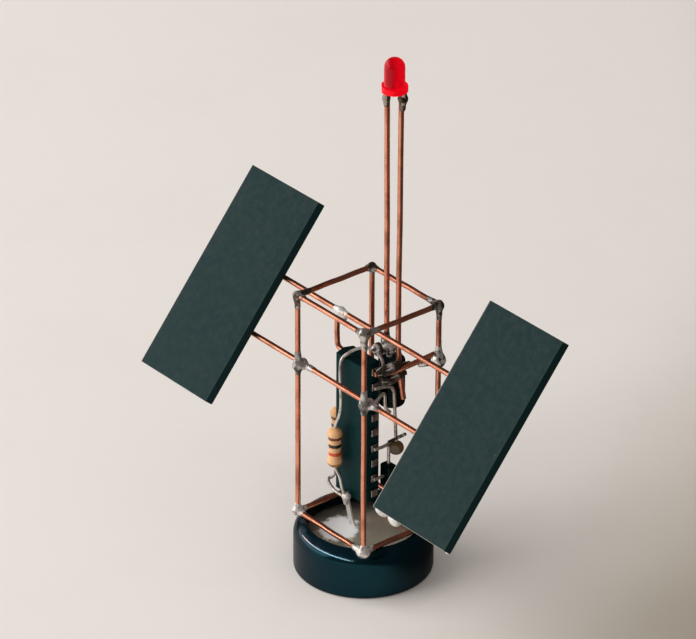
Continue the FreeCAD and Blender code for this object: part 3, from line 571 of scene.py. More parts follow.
@dataclass(frozen=True)
class PaintedLidLight(Finish):
    """Plain metal with a painted reflection on it, a pale uneven spot at a place and of half sizes in metres,
    and painted shadow at the back.

    The spot is turned by an angle about Z, and noise moves its rim in and out. The rim starts and ends
    at shares of the half sizes; the noise has a scale, a detail and a roughness.
    """

    spot: Place = (-0.0023, -0.0028, 0.0058)
    spot_half: Place = (0.0029, 0.0034, 0.004)
    spot_turn: float = 0.88
    rim: Span = (1.12, 0.86)
    rim_noise: Place = (900.0, 5.0, 0.65)
    # the painted reflection: a pale, rough spot of plain colour on the metal
    pale: Colour = (0.98, 0.99, 1.0)
    pale_rough: float = 0.6
    # painted shadow of the chip, darkening the lid towards its back
    painted_chip_shadow: Colour = (0.13, 0.11, 0.10)
    chip_shadow_toward: Place = (0.772, -0.635, 0.0)
    chip_shadow: Span = (-0.001, -0.0085)
    ragged: float = 0.45

    def shade(self, tree: Tree, shader: bpy.types.Node) -> None:
        """Gives the shader what this finish is made of, and takes the metal's gloss off the painted
        reflection.

        Args:
            tree: the material's tree.
            shader: its Principled node.
        """
        super().shade(tree, shader)
        share, given = self.painted_reflection(tree), shader.inputs
        tree.set(given["Base Color"], tree.mix(share, given["Base Color"].links[0].from_socket, self.pale))
        tree.set(given["Metallic"], tree.ramp(share, low=self.metallic, high=0.0))
        tree.set(given["Roughness"], tree.ramp(share, low=self.rough_low, high=self.pale_rough))

    def colouring(self, tree: Tree, mask: Socket) -> Socket:
        """Gives the colour, with painted shadow of the chip over the back.

        Args:
            tree: the material's tree.
            mask: the mask of the patches.

        Returns:
            The colour.
        """
        share = tree.across(self.chip_shadow_toward, *self.chip_shadow)
        return tree.mix(share, super().colouring(tree, mask), self.painted_chip_shadow)

    def painted_reflection(self, tree: Tree) -> Socket:
        """Gives the painted reflection's mask: the distance from the spot in its own half sizes, moved by
        noise.

        Args:
            tree: the material's tree.

        Returns:
            The mask.
        """
        place = tree.place()
        spot = {"Location": self.spot, "Rotation": (0.0, 0.0, self.spot_turn), "Scale": self.spot_half}
        local = tree.add("Mapping", {"Vector": place, **spot}, vector_type="TEXTURE").outputs[0]
        away = tree.add("VectorMath", {0: local}, operation="LENGTH").outputs["Value"]
        moved = tree.math("MULTIPLY_ADD", tree.noise(place, *self.rim_noise), self.ragged * 2, away)
        return tree.smooth(moved, self.rim[0] + self.ragged, self.rim[1] + self.ragged)


@dataclass(frozen=True)
class Clear(Finish):
    """Tinted clear resin, which lets light through, with a painted glow on the side away from the window and
    painted shade on the window's side.

    The painted glow is read across the part, from one distance to another along a direction, and on the
    flange, which is painted glowing all round, between two heights, in metres.
    """

    transmission: float = 0.4
    index: float = 1.45
    glow_toward: Place = (0.635, 0.772, 0.0)
    gather: Span = (0.0034, 0.0049)
    painted_glow: Colour = (0.27, 0.0, 0.004)
    painted_lens_shade: Colour = (0.60, 0.0, 0.012)
    flange: Span = (0.0783, 0.0780)

    def shade(self, tree: Tree, shader: bpy.types.Node) -> None:
        """Gives the shader what this finish is made of, lets light through it, and paints the glow and the
        shade.

        Args:
            tree: the material's tree.
            shader: its Principled node.
        """
        super().shade(tree, shader)
        flange = tree.ramp(tree.split(tree.place())["Z"], *self.flange)
        share = tree.math("MAXIMUM", tree.across(self.glow_toward, *self.gather), flange)
        colour = shader.inputs["Base Color"].links[0].from_socket
        # painted shade on the window's side, and a painted glow as emission, though the lens is no lamp
        given = {"Base Color": tree.mix(share, self.painted_lens_shade, colour),
                 "Emission Color": tree.mix(share, (0.0, 0.0, 0.0), self.painted_glow), "Emission Strength": 1.0,
                 "Transmission Weight": self.transmission, "IOR": self.index}
        for name, one in given.items():
            tree.set(shader.inputs[name], one)


COPPER = DrawnWire("bare copper", Slot.COPPER, (0.91, 0.37, 0.23), (0.54, 0.20, 0.115), patch_scale=260.0,
                   patch_low=0.42, patch_high=0.72, rough_low=0.24, rough_high=0.42, metallic=1.0)
# a darker heated colour, partly for scorching and partly as painted shade
SCORCHED_COPPER = replace(COPPER, name="scorched copper", heated=(0.045, 0.021, 0.015))
TINNED = Finish("tinned strip", Slot.TINNED, (0.82, 0.79, 0.74), (0.60, 0.55, 0.49), patch_scale=900.0,
                patch_low=0.5, patch_high=0.7, rough_low=0.4, rough_high=0.5, metallic=0.45,
                relief_depth=0.006)
LEAD = Finish("part lead", Slot.LEAD, (0.82, 0.78, 0.71), (0.50, 0.45, 0.39), patch_scale=900.0,
              rough_low=0.36, rough_high=0.5, metallic=0.85, relief_depth=0.003)
PIN = Finish("pin plating", Slot.PIN, (0.62, 0.54, 0.49), (0.34, 0.26, 0.21), patch_scale=700.0,
             rough_low=0.3, rough_high=0.5, metallic=1.0, relief_depth=0.004)
FRAME = Finish("lamp frame", Slot.LEAD, (0.62, 0.30, 0.26), (0.45, 0.2, 0.18), patch_scale=900.0,
               rough_low=0.25, rough_high=0.4, metallic=1.0, relief_depth=0.003)
SOLDER = Finish("solder", Slot.SOLDER, (0.66, 0.64, 0.60), (0.15, 0.125, 0.10), patch_scale=1100.0,
                patch_low=0.50, patch_high=0.64, rough_low=0.33, rough_high=0.55, metallic=0.9,
                relief_scale=1700.0, relief_depth=0.09)
BRIGHT = replace(SOLDER, name="bright solder", colour=(0.88, 0.88, 0.86), patch_colour=(0.42, 0.40, 0.37),
                 patch_low=0.56, patch_high=0.68, metallic=0.55)
MOTTLED = replace(SOLDER, name="mottled solder", colour=(0.88, 0.85, 0.81), patch_colour=(0.30, 0.19, 0.14),
                  patch_scale=1300.0, patch_low=0.53, patch_high=0.63, metallic=0.6, rough_low=0.4)
SMUTTED = replace(SOLDER, name="smutted solder", colour=(0.78, 0.76, 0.74), patch_colour=(0.12, 0.10, 0.095),
                  patch_scale=520.0, patch_low=0.44, patch_high=0.62, metallic=0.85)
SCORCHED = replace(SOLDER, name="scorched solder", colour=(0.24, 0.18, 0.14),
                   patch_colour=(0.055, 0.05, 0.035), patch_scale=500.0, patch_low=0.4, patch_high=0.6,
                   rough_low=0.4)
BURNT = replace(SOLDER, name="burnt solder", colour=(0.12, 0.10, 0.08), patch_colour=(0.62, 0.59, 0.54),
                patch_scale=800.0, patch_low=0.55, patch_high=0.62)
# painted glints: near-white solder with dark patches, standing for bright glints and dark reflections
PAINTED_GLINT_SOLDER = replace(SOLDER, name="solder with painted glints", colour=(0.95, 0.94, 0.91),
                   patch_colour=(0.07, 0.065, 0.055), patch_scale=900.0, patch_low=0.47, patch_high=0.57,
                   metallic=0.7)
# painted glints: bright streaks over dark solder
PAINTED_GLINT_STREAKS = Streaked("drawn out solder", Slot.SOLDER, (0.075, 0.060, 0.048), (0.90, 0.88, 0.83),
                    patch_low=0.53, patch_high=0.64, rough_low=0.32, rough_high=0.45, metallic=0.75,
                    relief_scale=1700.0, relief_depth=0.08)
# the lid, with a painted reflection and painted shadow of the chip
CAN = PaintedLidLight("can metal", Slot.CAN, (0.60, 0.57, 0.46), (0.46, 0.42, 0.33), patch_scale=250.0,
              rough_low=0.26, rough_high=0.4, metallic=0.65, relief_scale=300.0, relief_depth=0.02)
SLEEVE = Finish("shrunk sleeve", Slot.SLEEVE, (0.0004, 0.004, 0.007), (0.0008, 0.006, 0.009),
                patch_scale=120.0, rough_low=0.09, rough_high=0.16, relief_scale=420.0, relief_depth=0.012,
                specular=0.66, tint=(0.16, 0.80, 1.0), specular_along=0.0)
CELL = Laminate("cell laminate", Slot.CELL, (0.014, 0.029, 0.030), (0.025, 0.042, 0.042), patch_scale=900.0,
                patch_low=0.35, patch_high=0.7, rough_low=0.45, rough_high=0.6, relief_scale=2600.0,
                relief_depth=0.012, specular=0.1, tint=(0.6, 1.0, 1.0), edge_highlight_share=0.2)
# the right plate has the full painted edge highlight, the left one a fifth of it
EDGE_LIT_CELL = replace(CELL, name="edge-lit cell laminate", edge_highlight_share=1.0)
# the chip's upward faces get painted shade
CHIP = Moulded("moulded chip", Slot.CHIP, (0.001, 0.020, 0.022), (0.002, 0.028, 0.030), patch_scale=500.0,
               rough_low=0.42, rough_high=0.55, relief_scale=9000.0, relief_depth=0.008, specular=0.12,
               tint=(0.4, 0.95, 1.0))
BLACK = Finish("black resin", Slot.BLACK, (0.002, 0.005, 0.005), (0.004, 0.009, 0.009), patch_scale=600.0,
               rough_low=0.2, rough_high=0.35, relief_depth=0.004, specular=0.2, tint=(0.5, 1.0, 0.95),
               specular_along=0.0)
DIPPED = Finish("dipped resin", Slot.DIPPED, (0.10, 0.062, 0.024), (0.055, 0.033, 0.015), patch_scale=800.0,
                rough_low=0.15, rough_high=0.3, relief_scale=1500.0, relief_depth=0.02, coat=0.4)
RESISTOR = Banded("resistor lacquer", Slot.RESISTOR, (0.95, 0.56, 0.27), (0.86, 0.46, 0.20),
                  patch_scale=700.0, rough_low=0.22, rough_high=0.34, relief_scale=1800.0,
                  relief_depth=0.01, coat=0.3,
                  bands=((0.77, (0.17, 0.032, 0.008)), (0.575, (0.012, 0.006, 0.004)),
                         (0.375, (0.72, 0.08, 0.02)), (0.10, (0.42, 0.20, 0.05))))
# the lens, with a painted glow and painted shade
LENS = Clear("red lens", Slot.LENS, (0.95, 0.002, 0.018), (0.90, 0.002, 0.015), rough_low=0.10,
             rough_high=0.16, relief_scale=900.0, relief_depth=0.004, coat=0.1, specular=0.2,
             tint=(1.0, 0.5, 0.55))


# ---------------------------------------------------------------- forms


@dataclass
class Surface:
    """A grid of points with its map and its heat, in rows and columns; both are nothing unless given."""

    points: Array
    wrap: Array | None = None
    heat: Array | None = None

    def __post_init__(self) -> None:
        """Fills in what isn't given."""
        self.wrap = np.zeros((*self.points.shape[:2], 2)) if self.wrap is None else self.wrap
        self.heat = np.zeros(self.points.shape[:2]) if self.heat is None else self.heat


def node_box(node: str) -> tuple[Array, Array]:
    """Gives a node's lowest and highest corners, in millimetres."""
    low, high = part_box(node)
    return np.array(low) / MM, np.array(high) / MM


def middle_of(node: str) -> Array:
    """Gives the middle of a node's box, in millimetres."""
    low, high = node_box(node)
    return (low + high) / 2


def foot_of(node: str) -> Array:
    """Gives the middle of a node's underside, in millimetres."""
    return np.array([*middle_of(node)[:2], node_box(node)[0][2]])


def unit(vectors: Array) -> Array:
    """Gives the vectors at length 1."""
    return vectors / np.maximum(np.linalg.norm(vectors, axis=-1, keepdims=True), TINY)


def grid_faces(rows: int, columns: int) -> Array:
    """Gives the four corner numbers of each face of a grid of points."""
    index = np.arange(rows * columns).reshape(rows, columns)
    corners = (index[:-1, :-1], index[:-1, 1:], index[1:, 1:], index[1:, :-1])
    return np.stack(corners, axis=-1).reshape(-1, 4)


def write_piece(name: str, surfaces: list[Surface], finish: Finish, nodes: tuple[str, ...],
                crease: float = NEVER) -> Piece:
    """Writes grids as one piece that rides on the root and stands for its nodes.

    The grids' seams and poles are points that fall together, and welding closes them.

    Args:
        name: the piece's name.
        surfaces: its grids.
        finish: its finish.
        nodes: the nodes that it stands for.
        crease: the angle in degrees above which an edge stays sharp.

    Returns:
        The piece.
    """
    quads = [grid_faces(*surface.points.shape[:2]) for surface in surfaces]
    starts = np.cumsum([0, *(surface.heat.size for surface in surfaces)])
    corners = np.concatenate([faces + start for faces, start in zip(quads, starts)])
    points = np.concatenate([surface.points.reshape(-1, 3) for surface in surfaces])
    maps = np.concatenate([surface.wrap.reshape(-1, 2)[faces] for surface, faces in zip(surfaces, quads)])
    heats = np.concatenate([surface.heat.reshape(-1) for surface in surfaces])
    mesh = bpy.data.meshes.new(name)
    mesh.vertices.add(len(points))
    mesh.vertices.foreach_set("co", (points * MM).ravel())
    mesh.loops.add(corners.size)
    mesh.loops.foreach_set("vertex_index", corners.ravel())
    mesh.polygons.add(len(corners))
    mesh.polygons.foreach_set("loop_start", np.arange(0, corners.size, 4))
    mesh.uv_layers.new(name="wrap").data.foreach_set("uv", maps.ravel())
    mesh.attributes.new("heat", "FLOAT", "POINT").data.foreach_set("value", heats)
    mesh.update(calc_edges=True)
    net = bmesh.new()
    net.from_mesh(mesh)
    bmesh.ops.remove_doubles(net, verts=net.verts, dist=WELD)
    bmesh.ops.recalc_face_normals(net, faces=net.faces)
    net.to_mesh(mesh)
    net.free()
    mesh.polygons.foreach_set("use_smooth", np.ones(len(mesh.polygons), dtype=bool))
    if crease < NEVER:
        mesh.set_sharp_from_angle(angle=math.radians(crease))
    mesh.materials.append(finish.material())
    piece = bpy.data.objects.new(name, mesh)
    bpy.context.scene.collection.objects.link(piece)
    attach(piece, ROOT)
    if nodes:
        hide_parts(*nodes)
    return piece


def length_of(path: Array) -> float:
    """Gives the length of a path of straight steps."""
    return float(np.linalg.norm(np.diff(path, axis=0), axis=1).sum())


def along_path(path: Array, stations: Array) -> Array:
    """Gives the points at the given lengths along a path of straight steps."""
    lengths = np.concatenate([[0.0], np.cumsum(np.linalg.norm(np.diff(path, axis=0), axis=1))])
    return np.stack([np.interp(stations, lengths, path[:, axis]) for axis in range(3)], axis=1)


def spokes(axis: Array, slant: Place, sides: int) -> tuple[Array, Array]:
    """Gives the angles a round an axis, and their spokes cos a N + sin a B.

    N is square to the axis and to a slanting direction that no axis has, and B to the axis and N.

    Args:
        axis: a direction, or one in each row.
        slant: the slanting direction.
        sides: how many angles go round.

    Returns:
        The angles, and the spokes' directions.
    """
    normal = unit(np.cross(axis, np.array(slant)))
    side = np.cross(axis, normal)
    angle = np.linspace(0.0, math.tau, sides + 1)
    turn = angle[:, None]
    return angle, np.cos(turn) * normal[..., None, :] + np.sin(turn) * side[..., None, :]


def carried(path: Array, radius: float, sides: int = 20, chamfer: float = 0.06, step: float = 0.3,
            swell: Array | None = None) -> Surface:
    """Carries a circle along a path, and closes both ends with a small chamfer.

    A point is centre(s) + r(s) (cos a N(s) + sin a B(s)), where s runs along the path and a round it,
    and r falls from the radius to its chamfer and to nothing at both ends.

    Args:
        path: the centre line's points.
        radius: the wire's radius.
        sides: how many points go round.
        chamfer: how far the cut ends are broken.
        step: the length between rings.
        swell: what the radius is multiplied by, at even shares of the path.

    Returns:
        The tube.
    """
    whole = length_of(path)
    count = max(3, int(whole / step))
    stations = np.concatenate([[0.0, 0.0], np.linspace(chamfer, whole - chamfer, count), [whole, whole]])
    reach = np.concatenate([[0.0, radius - chamfer], np.full(count, radius), [radius - chamfer, 0.0]])
    if swell is not None:
        reach = reach * np.interp(stations / whole, np.linspace(0.0, 1.0, len(swell)), swell)
    ahead = along_path(path, np.clip(stations + step / 2, 0.0, whole))
    behind = along_path(path, np.clip(stations - step / 2, 0.0, whole))
    angle, ring = spokes(unit(ahead - behind), WIRE_SLANT, sides)
    points = along_path(path, stations)[:, None] + reach[:, None, None] * ring
    return Surface(points, np.stack(np.broadcast_arrays(angle * radius, stations[:, None]), axis=-1))


def turned(profile: Array, centre: Array, axis: Array = UP, sides: int = 64) -> Surface:
    """Turns a profile round an axis.

    A point is centre + h axis + r (cos a N + sin a B), for the profile's radius r and height h.

    Args:
        profile: rows of radius and height.
        centre: where the axis starts.
        axis: the axis's direction.
        sides: how many points go round.

    Returns:
        The turned form, its map running round it and along its profile.
    """
    axis = unit(axis)
    angle, ring = spokes(axis, FORM_SLANT, sides)
    radius, height = profile[:, :1], profile[:, 1:]
    points = centre + height[..., None] * axis + radius[..., None] * ring
    return Surface(points, np.stack(np.broadcast_arrays(angle * radius.max(), height), axis=-1))


def square_grids(count: int, gather: float) -> Array:
    """Gives points on the six faces of a cube from -1 to 1, closer together round the faces' middles.

    Args:
        count: the points along an edge.
        gather: 1 spaces them evenly, more draws them to the middles.

    Returns:
        Six grids of points.
    """
    line = np.linspace(-1.0, 1.0, count)
    line = np.sign(line) * np.abs(line) ** gather
    across, down = np.meshgrid(line, line, indexing="ij")
    return np.stack([np.stack(order, axis=-1) for end in (-np.ones_like(across), np.ones_like(across))
                     for order in ((end, across, down), (across, end, down), (across, down, end))])


def bent(points: Array, bend: float, count: int = 10) -> Array:
    """Follows a route's points, and rounds each corner with a parabola.

    The parabola starts and ends a bend's length from the corner, or half the run where that is
    shorter, and is drawn towards the corner; the route's two ends are met exactly.

    Args:
        points: the route's points.
        bend: how far from its corner a bend starts.
        count: the steps on each parabola.

    Returns:
        The points of the line.
    """
    points = np.asarray(points, dtype=float)
    runs = np.diff(points, axis=0)
    length = np.linalg.norm(runs, axis=1, keepdims=True)
    step = runs / length * np.minimum(bend, length / 2)
    corner = points[1:-1, None]
    start, end = (points[1:-1] - step[:-1])[:, None], (points[1:-1] + step[1:])[:, None]
    share = np.linspace(0.0, 1.0, count)[None, :, None]
    line = (1 - share) ** 2 * start + 2 * share * (1 - share) * corner + share**2 * end
    return np.concatenate([points[:1], line.reshape(-1, 3), points[-1:]])


def rounded_block(half: Array, radius: float, arcs: int = 4,
                  spans: tuple[int, int, int] = (4, 4, 4)) -> list[Array]:
    """Gives a block with rounded edges as six grids about its middle.

    Each point of the sharp block is clamped to the block less the radius, and goes out from there by
    the radius towards where it was, so that a face stays flat and an edge turns evenly.

    Args:
        half: half the block's size each way.
        radius: the edges' radius.
        arcs: the steps on half an edge's turn.
        spans: the steps on a flat, each way.

    Returns:
        A list of six grids of points.
    """
    core = half - radius
    rise = radius * np.tan(np.linspace(0.0, math.pi / 4, arcs + 1))
    flats = [np.linspace(-1.0, 1.0, steps + 1)[1:-1] for steps in spans]
    lines = [np.concatenate([-(inner + rise[::-1]), flat * inner, inner + rise])
             for inner, flat in zip(core, flats)]
    grids = []
    for axis in Axis:
        first, second = (other.value for other in Axis if other is not axis)
        for end in (-half[axis.value], half[axis.value]):
            spot = np.empty((lines[first].size, lines[second].size, 3))
            spot[..., axis.value] = end
            spot[..., first] = lines[first][:, None]
            spot[..., second] = lines[second]
            inner = np.clip(spot, -core, core)
            grids.append(inner + radius * unit(spot - inner))
    return grids


def plain(grids: Array | list[Array], shift: Array | Place = (0.0, 0.0, 0.0)) -> list[Surface]:
    """Gives grids of points as surfaces, each moved by a shift."""
    return [Surface(points + shift) for points in grids]


def draw_waves(rng: np.random.Generator, pace: float) -> Array:
    """Draws four waves across space: how fast each runs in X, Y and Z, and where it starts."""
    return np.concatenate([rng.normal(0.0, pace, (4, 3)), rng.uniform(0.0, math.tau, (4, 1))], axis=1)


def wave_sum(points: Array, drawn: Array) -> Array:
    """Gives the sum of the drawn waves' sines at points."""
    return np.sin(points @ drawn[:, :3].T + drawn[:, 3]).sum(axis=-1)


# ---------------------------------------------------------------- wires


@dataclass(frozen=True)
class CageLines:
    """Where the cage's wires run, read from their nodes."""

    left: float = middle_of("post_left")[0]
    right: float = middle_of("post_front")[0]
    front: float = middle_of("post_front")[1]
    back: float = middle_of("post_back")[1]
    bottom: float = middle_of("bottom_rail_front")[2]
    top: float = middle_of("top_rail_front")[2]
    lower: Array = field(default_factory=lambda: middle_of("panel_wire_lower"))
    upper: Array = field(default_factory=lambda: middle_of("panel_wire_upper"))

    def corners(self, level: float) -> Array:
        """Gives the four corners at a level: left, front, right and back."""
        return np.array([(self.left, self.front, level), (self.right, self.front, level),
                         (self.right, self.back, level), (self.left, self.back, level)])

    def crossings(self) -> Array:
        """Gives where the lower panel wire passes the left and front posts."""
        return np.array([(side, *self.lower[1:]) for side in (self.left, self.right)])


LINES = CageLines()


@dataclass
class BareWire:
    """Straight bare wires, drawn a little uneven as hand-cut wire is.

    Each has its own darkening, from 0 to 1, at its low and at its high parts: partly tarnish and partly
    painted shade.
    """

    radius: float = 0.4
    sway: float = 0.045
    sway_waves: float = 2.3
    heat_reach: float = 1.9
    clean_below: float = 20.0
    dull_above: float = 34.0
    seed: int = 4
    steps: int = 40
    crease: float = 50.0
    # these wires get the darker heated colour: partly scorching and partly painted shade
    scorched: tuple[str, ...] = ("cross_link", "post_right", "post_back")
    heated: tuple[str, ...] = ("solder_link", "solder_stay", "solder_stem_foot", "solder_bus",
                               "lamp_leg_left", "lamp_leg_right")
    # each wire's darkening low and high: partly tarnish and partly painted shade, highest on the rails that
    # run front to back and the far posts
    straight: tuple[tuple[str, float, float], ...] = (
        ("post_left", 0.14, 1.1), ("post_front", 0.0, 0.12), ("post_right", 0.75, 1.0),
        ("post_back", 0.4, 1.1),
        ("bottom_rail_front", 0.1, 0.1), ("bottom_rail_left", 0.7, 0.7), ("bottom_rail_back", 0.6, 0.6),
        ("bottom_rail_right", 0.5, 0.5), ("top_rail_front", 0.0, 0.0), ("top_rail_left", 0.74, 0.74),
        ("top_rail_back", 0.08, 0.08), ("top_rail_right", 0.78, 0.78), ("panel_wire_lower", 0.0, 0.0),
        ("panel_wire_upper", 0.0, 0.0))

    def warmed(self, surface: Surface, dull_low: float, dull_high: float) -> Surface:
        """Adds the heat to a wire: 1 at a soldered place, falling as a bell to the wire's own darkening,
        partly tarnish and partly painted shade.

        Args:
            surface: the wire.
            dull_low: its darkening low down, partly tarnish and partly painted shade.
            dull_high: its darkening high up, partly tarnish and partly painted shade.

        Returns:
            The wire.
        """
        places = np.concatenate([LINES.corners(LINES.bottom), LINES.corners(LINES.top), LINES.crossings(),
                                 [middle_of(node) for node in self.heated]])
        near = np.linalg.norm(surface.points[:, :, None] - places, axis=-1).min(axis=-1)
        # partly painted shade: each wire's darkening rises with the height from its low to its high share
        share = (surface.points[..., 2] - self.clean_below) / (self.dull_above - self.clean_below)
        tarnish = dull_low + (dull_high - dull_low) * np.clip(share, 0.0, 1.0)
        surface.heat = np.maximum(np.exp(-((near / self.heat_reach) ** 2)), tarnish)
        return surface

    def swayed(self, path: Array, rng: np.random.Generator) -> Array:
        """Moves a path's middle a little off its line, as a few slow waves that end at nothing.

        Args:
            path: the centre line.
            rng: the draws for where the waves start.

        Returns:
            The swayed line.
        """
        share = np.linspace(0.0, 1.0, len(path))[:, None]
        phase = rng.uniform(0.0, math.tau, (2, 3))
        waves = np.sin(math.tau * self.sway_waves * share + phase[0]) + np.sin(math.tau * share + phase[1])
        return path + self.sway * waves * np.sin(math.pi * share) / 2

    def wire(self, node: str, path: Array, rng: np.random.Generator, dull: list[float]) -> Piece:
        """Makes one wire along a path.

        Args:
            node: the node that it stands for.
            path: its centre line.
            rng: the draws for its sway.
            dull: how dull it is low down and high up, away from its joints.

        Returns:
            The piece.
        """
        tube = self.warmed(carried(self.swayed(path, rng), self.radius), *dull)
        finish = SCORCHED_COPPER if node in self.scorched else COPPER
        return write_piece(f"{node}_wire", [tube], finish, (node,), crease=self.crease)

    def build(self) -> list[Piece]:
        """Makes the cage's posts and rails and the two panel wires.

        Returns:
            The pieces.
        """
        rng = np.random.default_rng(self.seed)
        share = np.linspace(0.0, 1.0, self.steps)[:, None]
        pieces = []
        for node, *dull in self.straight:
            low, high = node_box(node)
            axis = int(np.argmax(high - low))
            ends = np.tile((low + high) / 2, (2, 1))
            ends[:, axis] = low[axis], high[axis]
            pieces.append(self.wire(node, ends[0] + share * (ends[1] - ends[0]), rng, dull))
        return pieces


@dataclass
class Masts(BareWire):
    """The lamp's two stems, the stay at the back, the thick bus and the link to the right post.

    Each has its darkening, partly tarnish and partly painted shade, how far from a corner it starts to bend,
    and its ends and corners.
    """

    seed: int = 9
    sway: float = 0.03
    steps: int = 80
    # the second column is each wire's darkening, partly tarnish and partly painted shade
    routes: tuple[tuple[str, float, float, tuple[Place, ...]], ...] = (
        ("stem_left", 0.42, 3.0, ((0.95, 3.35, 36.6), (1.0, 3.18, 56.0), (1.02, 3.02, 76.15))),
        ("stem_right", 0.36, 3.0, ((4.85, 3.35, 28.66), (3.55, 3.35, 34.4), (2.9, 3.96, 56.0),
                                   (2.29, 4.57, 76.15))),
        ("stay_wire", 0.95, 1.2, ((-6.6, 0.29, 38.86), (-6.6, 0.29, 33.46), (-4.36, 0.29, 33.46))),
        ("cross_link", 1.0, 1.0, ((3.15, 0.85, 32.41), (5.3, 3.83, 34.2), (7.53, 6.92, 36.06))),
        ("bus_wire", 0.0, 1.0, ((3.15, -0.75, 33.36), (3.15, 1.0, 33.36), (3.15, 2.9, 33.36))))

    def build(self) -> list[Piece]:
        """Makes the five wires, each along its rounded route.

        Returns:
            The pieces.
        """
        rng = np.random.default_rng(self.seed)
        pieces = []
        for node, tarnish, bend, places in self.routes:
            path = bent(places, bend)
            even = along_path(path, np.linspace(0.0, length_of(path), self.steps))
            pieces.append(self.wire(node, even, rng, [tarnish, tarnish]))
        return pieces


@dataclass
class Leads:
    """The parts' own thin leads, each carried along its rounded route; the clipped end has no node."""

    radius: float = 0.25
    bend: float = 1.6
    sides: int = 16
    step: float = 0.15
    chamfer: float = 0.04
    crease: float = 50.0
    clipped: str = "lead_disc_end"
    routes: tuple[tuple[str, tuple[Place, ...]], ...] = (
        ("resistor_front_lead_upper", ((-2.15, -3.73, 23.2), (-1.9, -3.70, 24.2), (-1.19, -3.65, 25.61),
                                       (-0.85, -3.56, 27.77), (-1.4, -3.34, 31.2), (-1.97, -2.90, 33.9),
                                       (-1.85, -2.40, 34.9), (-0.55, -0.82, 36.21), (1.02, 0.46, 36.48),
                                       (3.08, 0.76, 35.61), (3.15, 0.9, 33.81))),
        ("resistor_front_lead_lower", ((-2.15, -3.73, 16.9), (-1.74, -3.73, 16.4), (-0.95, -3.69, 15.54),
                                       (-0.77, -3.51, 13.77), (-0.3, -3.35, 12.7))),
        ("resistor_rear_lead_upper", ((-5.83, -0.2, 23.7), (-5.83, -0.2, 25.84), (-4.35, -0.2, 25.84))),
        ("resistor_rear_lead_lower", ((-5.83, -0.2, 17.4), (-5.85, -0.45, 13.2), (-6.2, -0.8, 12.0),
                                      (-6.65, -1.23, 11.87), (-6.1, -1.7, 11.62), (-5.28, -2.02, 11.62),
                                      (-3.32, -2.89, 11.81), (-0.8, -3.35, 12.3))),
        ("lead_long", ((3.0, -0.6, 30.92), (3.35, 2.75, 30.55), (3.45, 3.2, 21.0))),
        ("lead_hook", ((3.0, -0.6, 28.38), (3.1, 0.8, 29.68), (3.1, 1.3, 29.43), (3.1, 1.3, 27.08),
                       (3.35, 2.15, 26.18))),
        ("lead_disc", ((3.0, -0.6, 20.76), (3.03, 0.9, 20.62), (3.0, 2.3, 20.76))),
        ("lead_disc_end", ((2.3, 2.7, 20.5), (3.6, 3.1, 21.6), (5.2, 3.5, 22.9))),
        ("lead_device", ((3.0, -0.6, 15.68), (3.0, 0.3, 15.66), (3.0, 1.3, 15.68))),
        ("lead_device_upper", ((3.1, 2.1, 17.44), (3.1, 2.1, 18.9), (3.1, 2.1, 20.51))),
        ("bulk_lead_left", ((-0.3, 5.25, 32.9), (-0.3, 5.25, 35.6), (0.95, 3.35, 36.3))),
        ("bulk_lead_right", ((1.2, 5.25, 32.9), (1.2, 5.25, 35.2), (3.55, 3.8, 35.2))))

    def build(self) -> list[Piece]:
        """Makes the leads.

        Returns:
            The pieces.
        """
        pieces = []
        for node, places in self.routes:
            tube = carried(bent(places, self.bend), self.radius, self.sides, self.chamfer, self.step)
            finish, replaced = (BURNT, ()) if node == self.clipped else (LEAD, (node,))
            pieces.append(write_piece(f"{node}_drawn", [tube], finish, replaced, crease=self.crease))
        return pieces


# ---------------------------------------------------------------- solder


@dataclass
class Joint:
    """A soldered joint, and how far the solder has crept along each wire that meets there.

    Each arm is a wire's direction, how far the solder creeps along it and, if not at the joint's place,
    how far from there it starts. Thick is the solder's radius where the wires meet.
    """

    at: Array
    arms: list[tuple[Array, float] | tuple[Array, float, Array]]
    thick: float

    def __post_init__(self) -> None:
        """Lists the arms' directions, reaches and starts, each as one array."""
        self.toward = unit(np.array([arm[0] for arm in self.arms], dtype=float))
        self.reach = np.array([arm[1] for arm in self.arms], dtype=float)
        self.start = np.array([arm[2] if len(arm) > 2 else (0, 0, 0) for arm in self.arms], dtype=float)


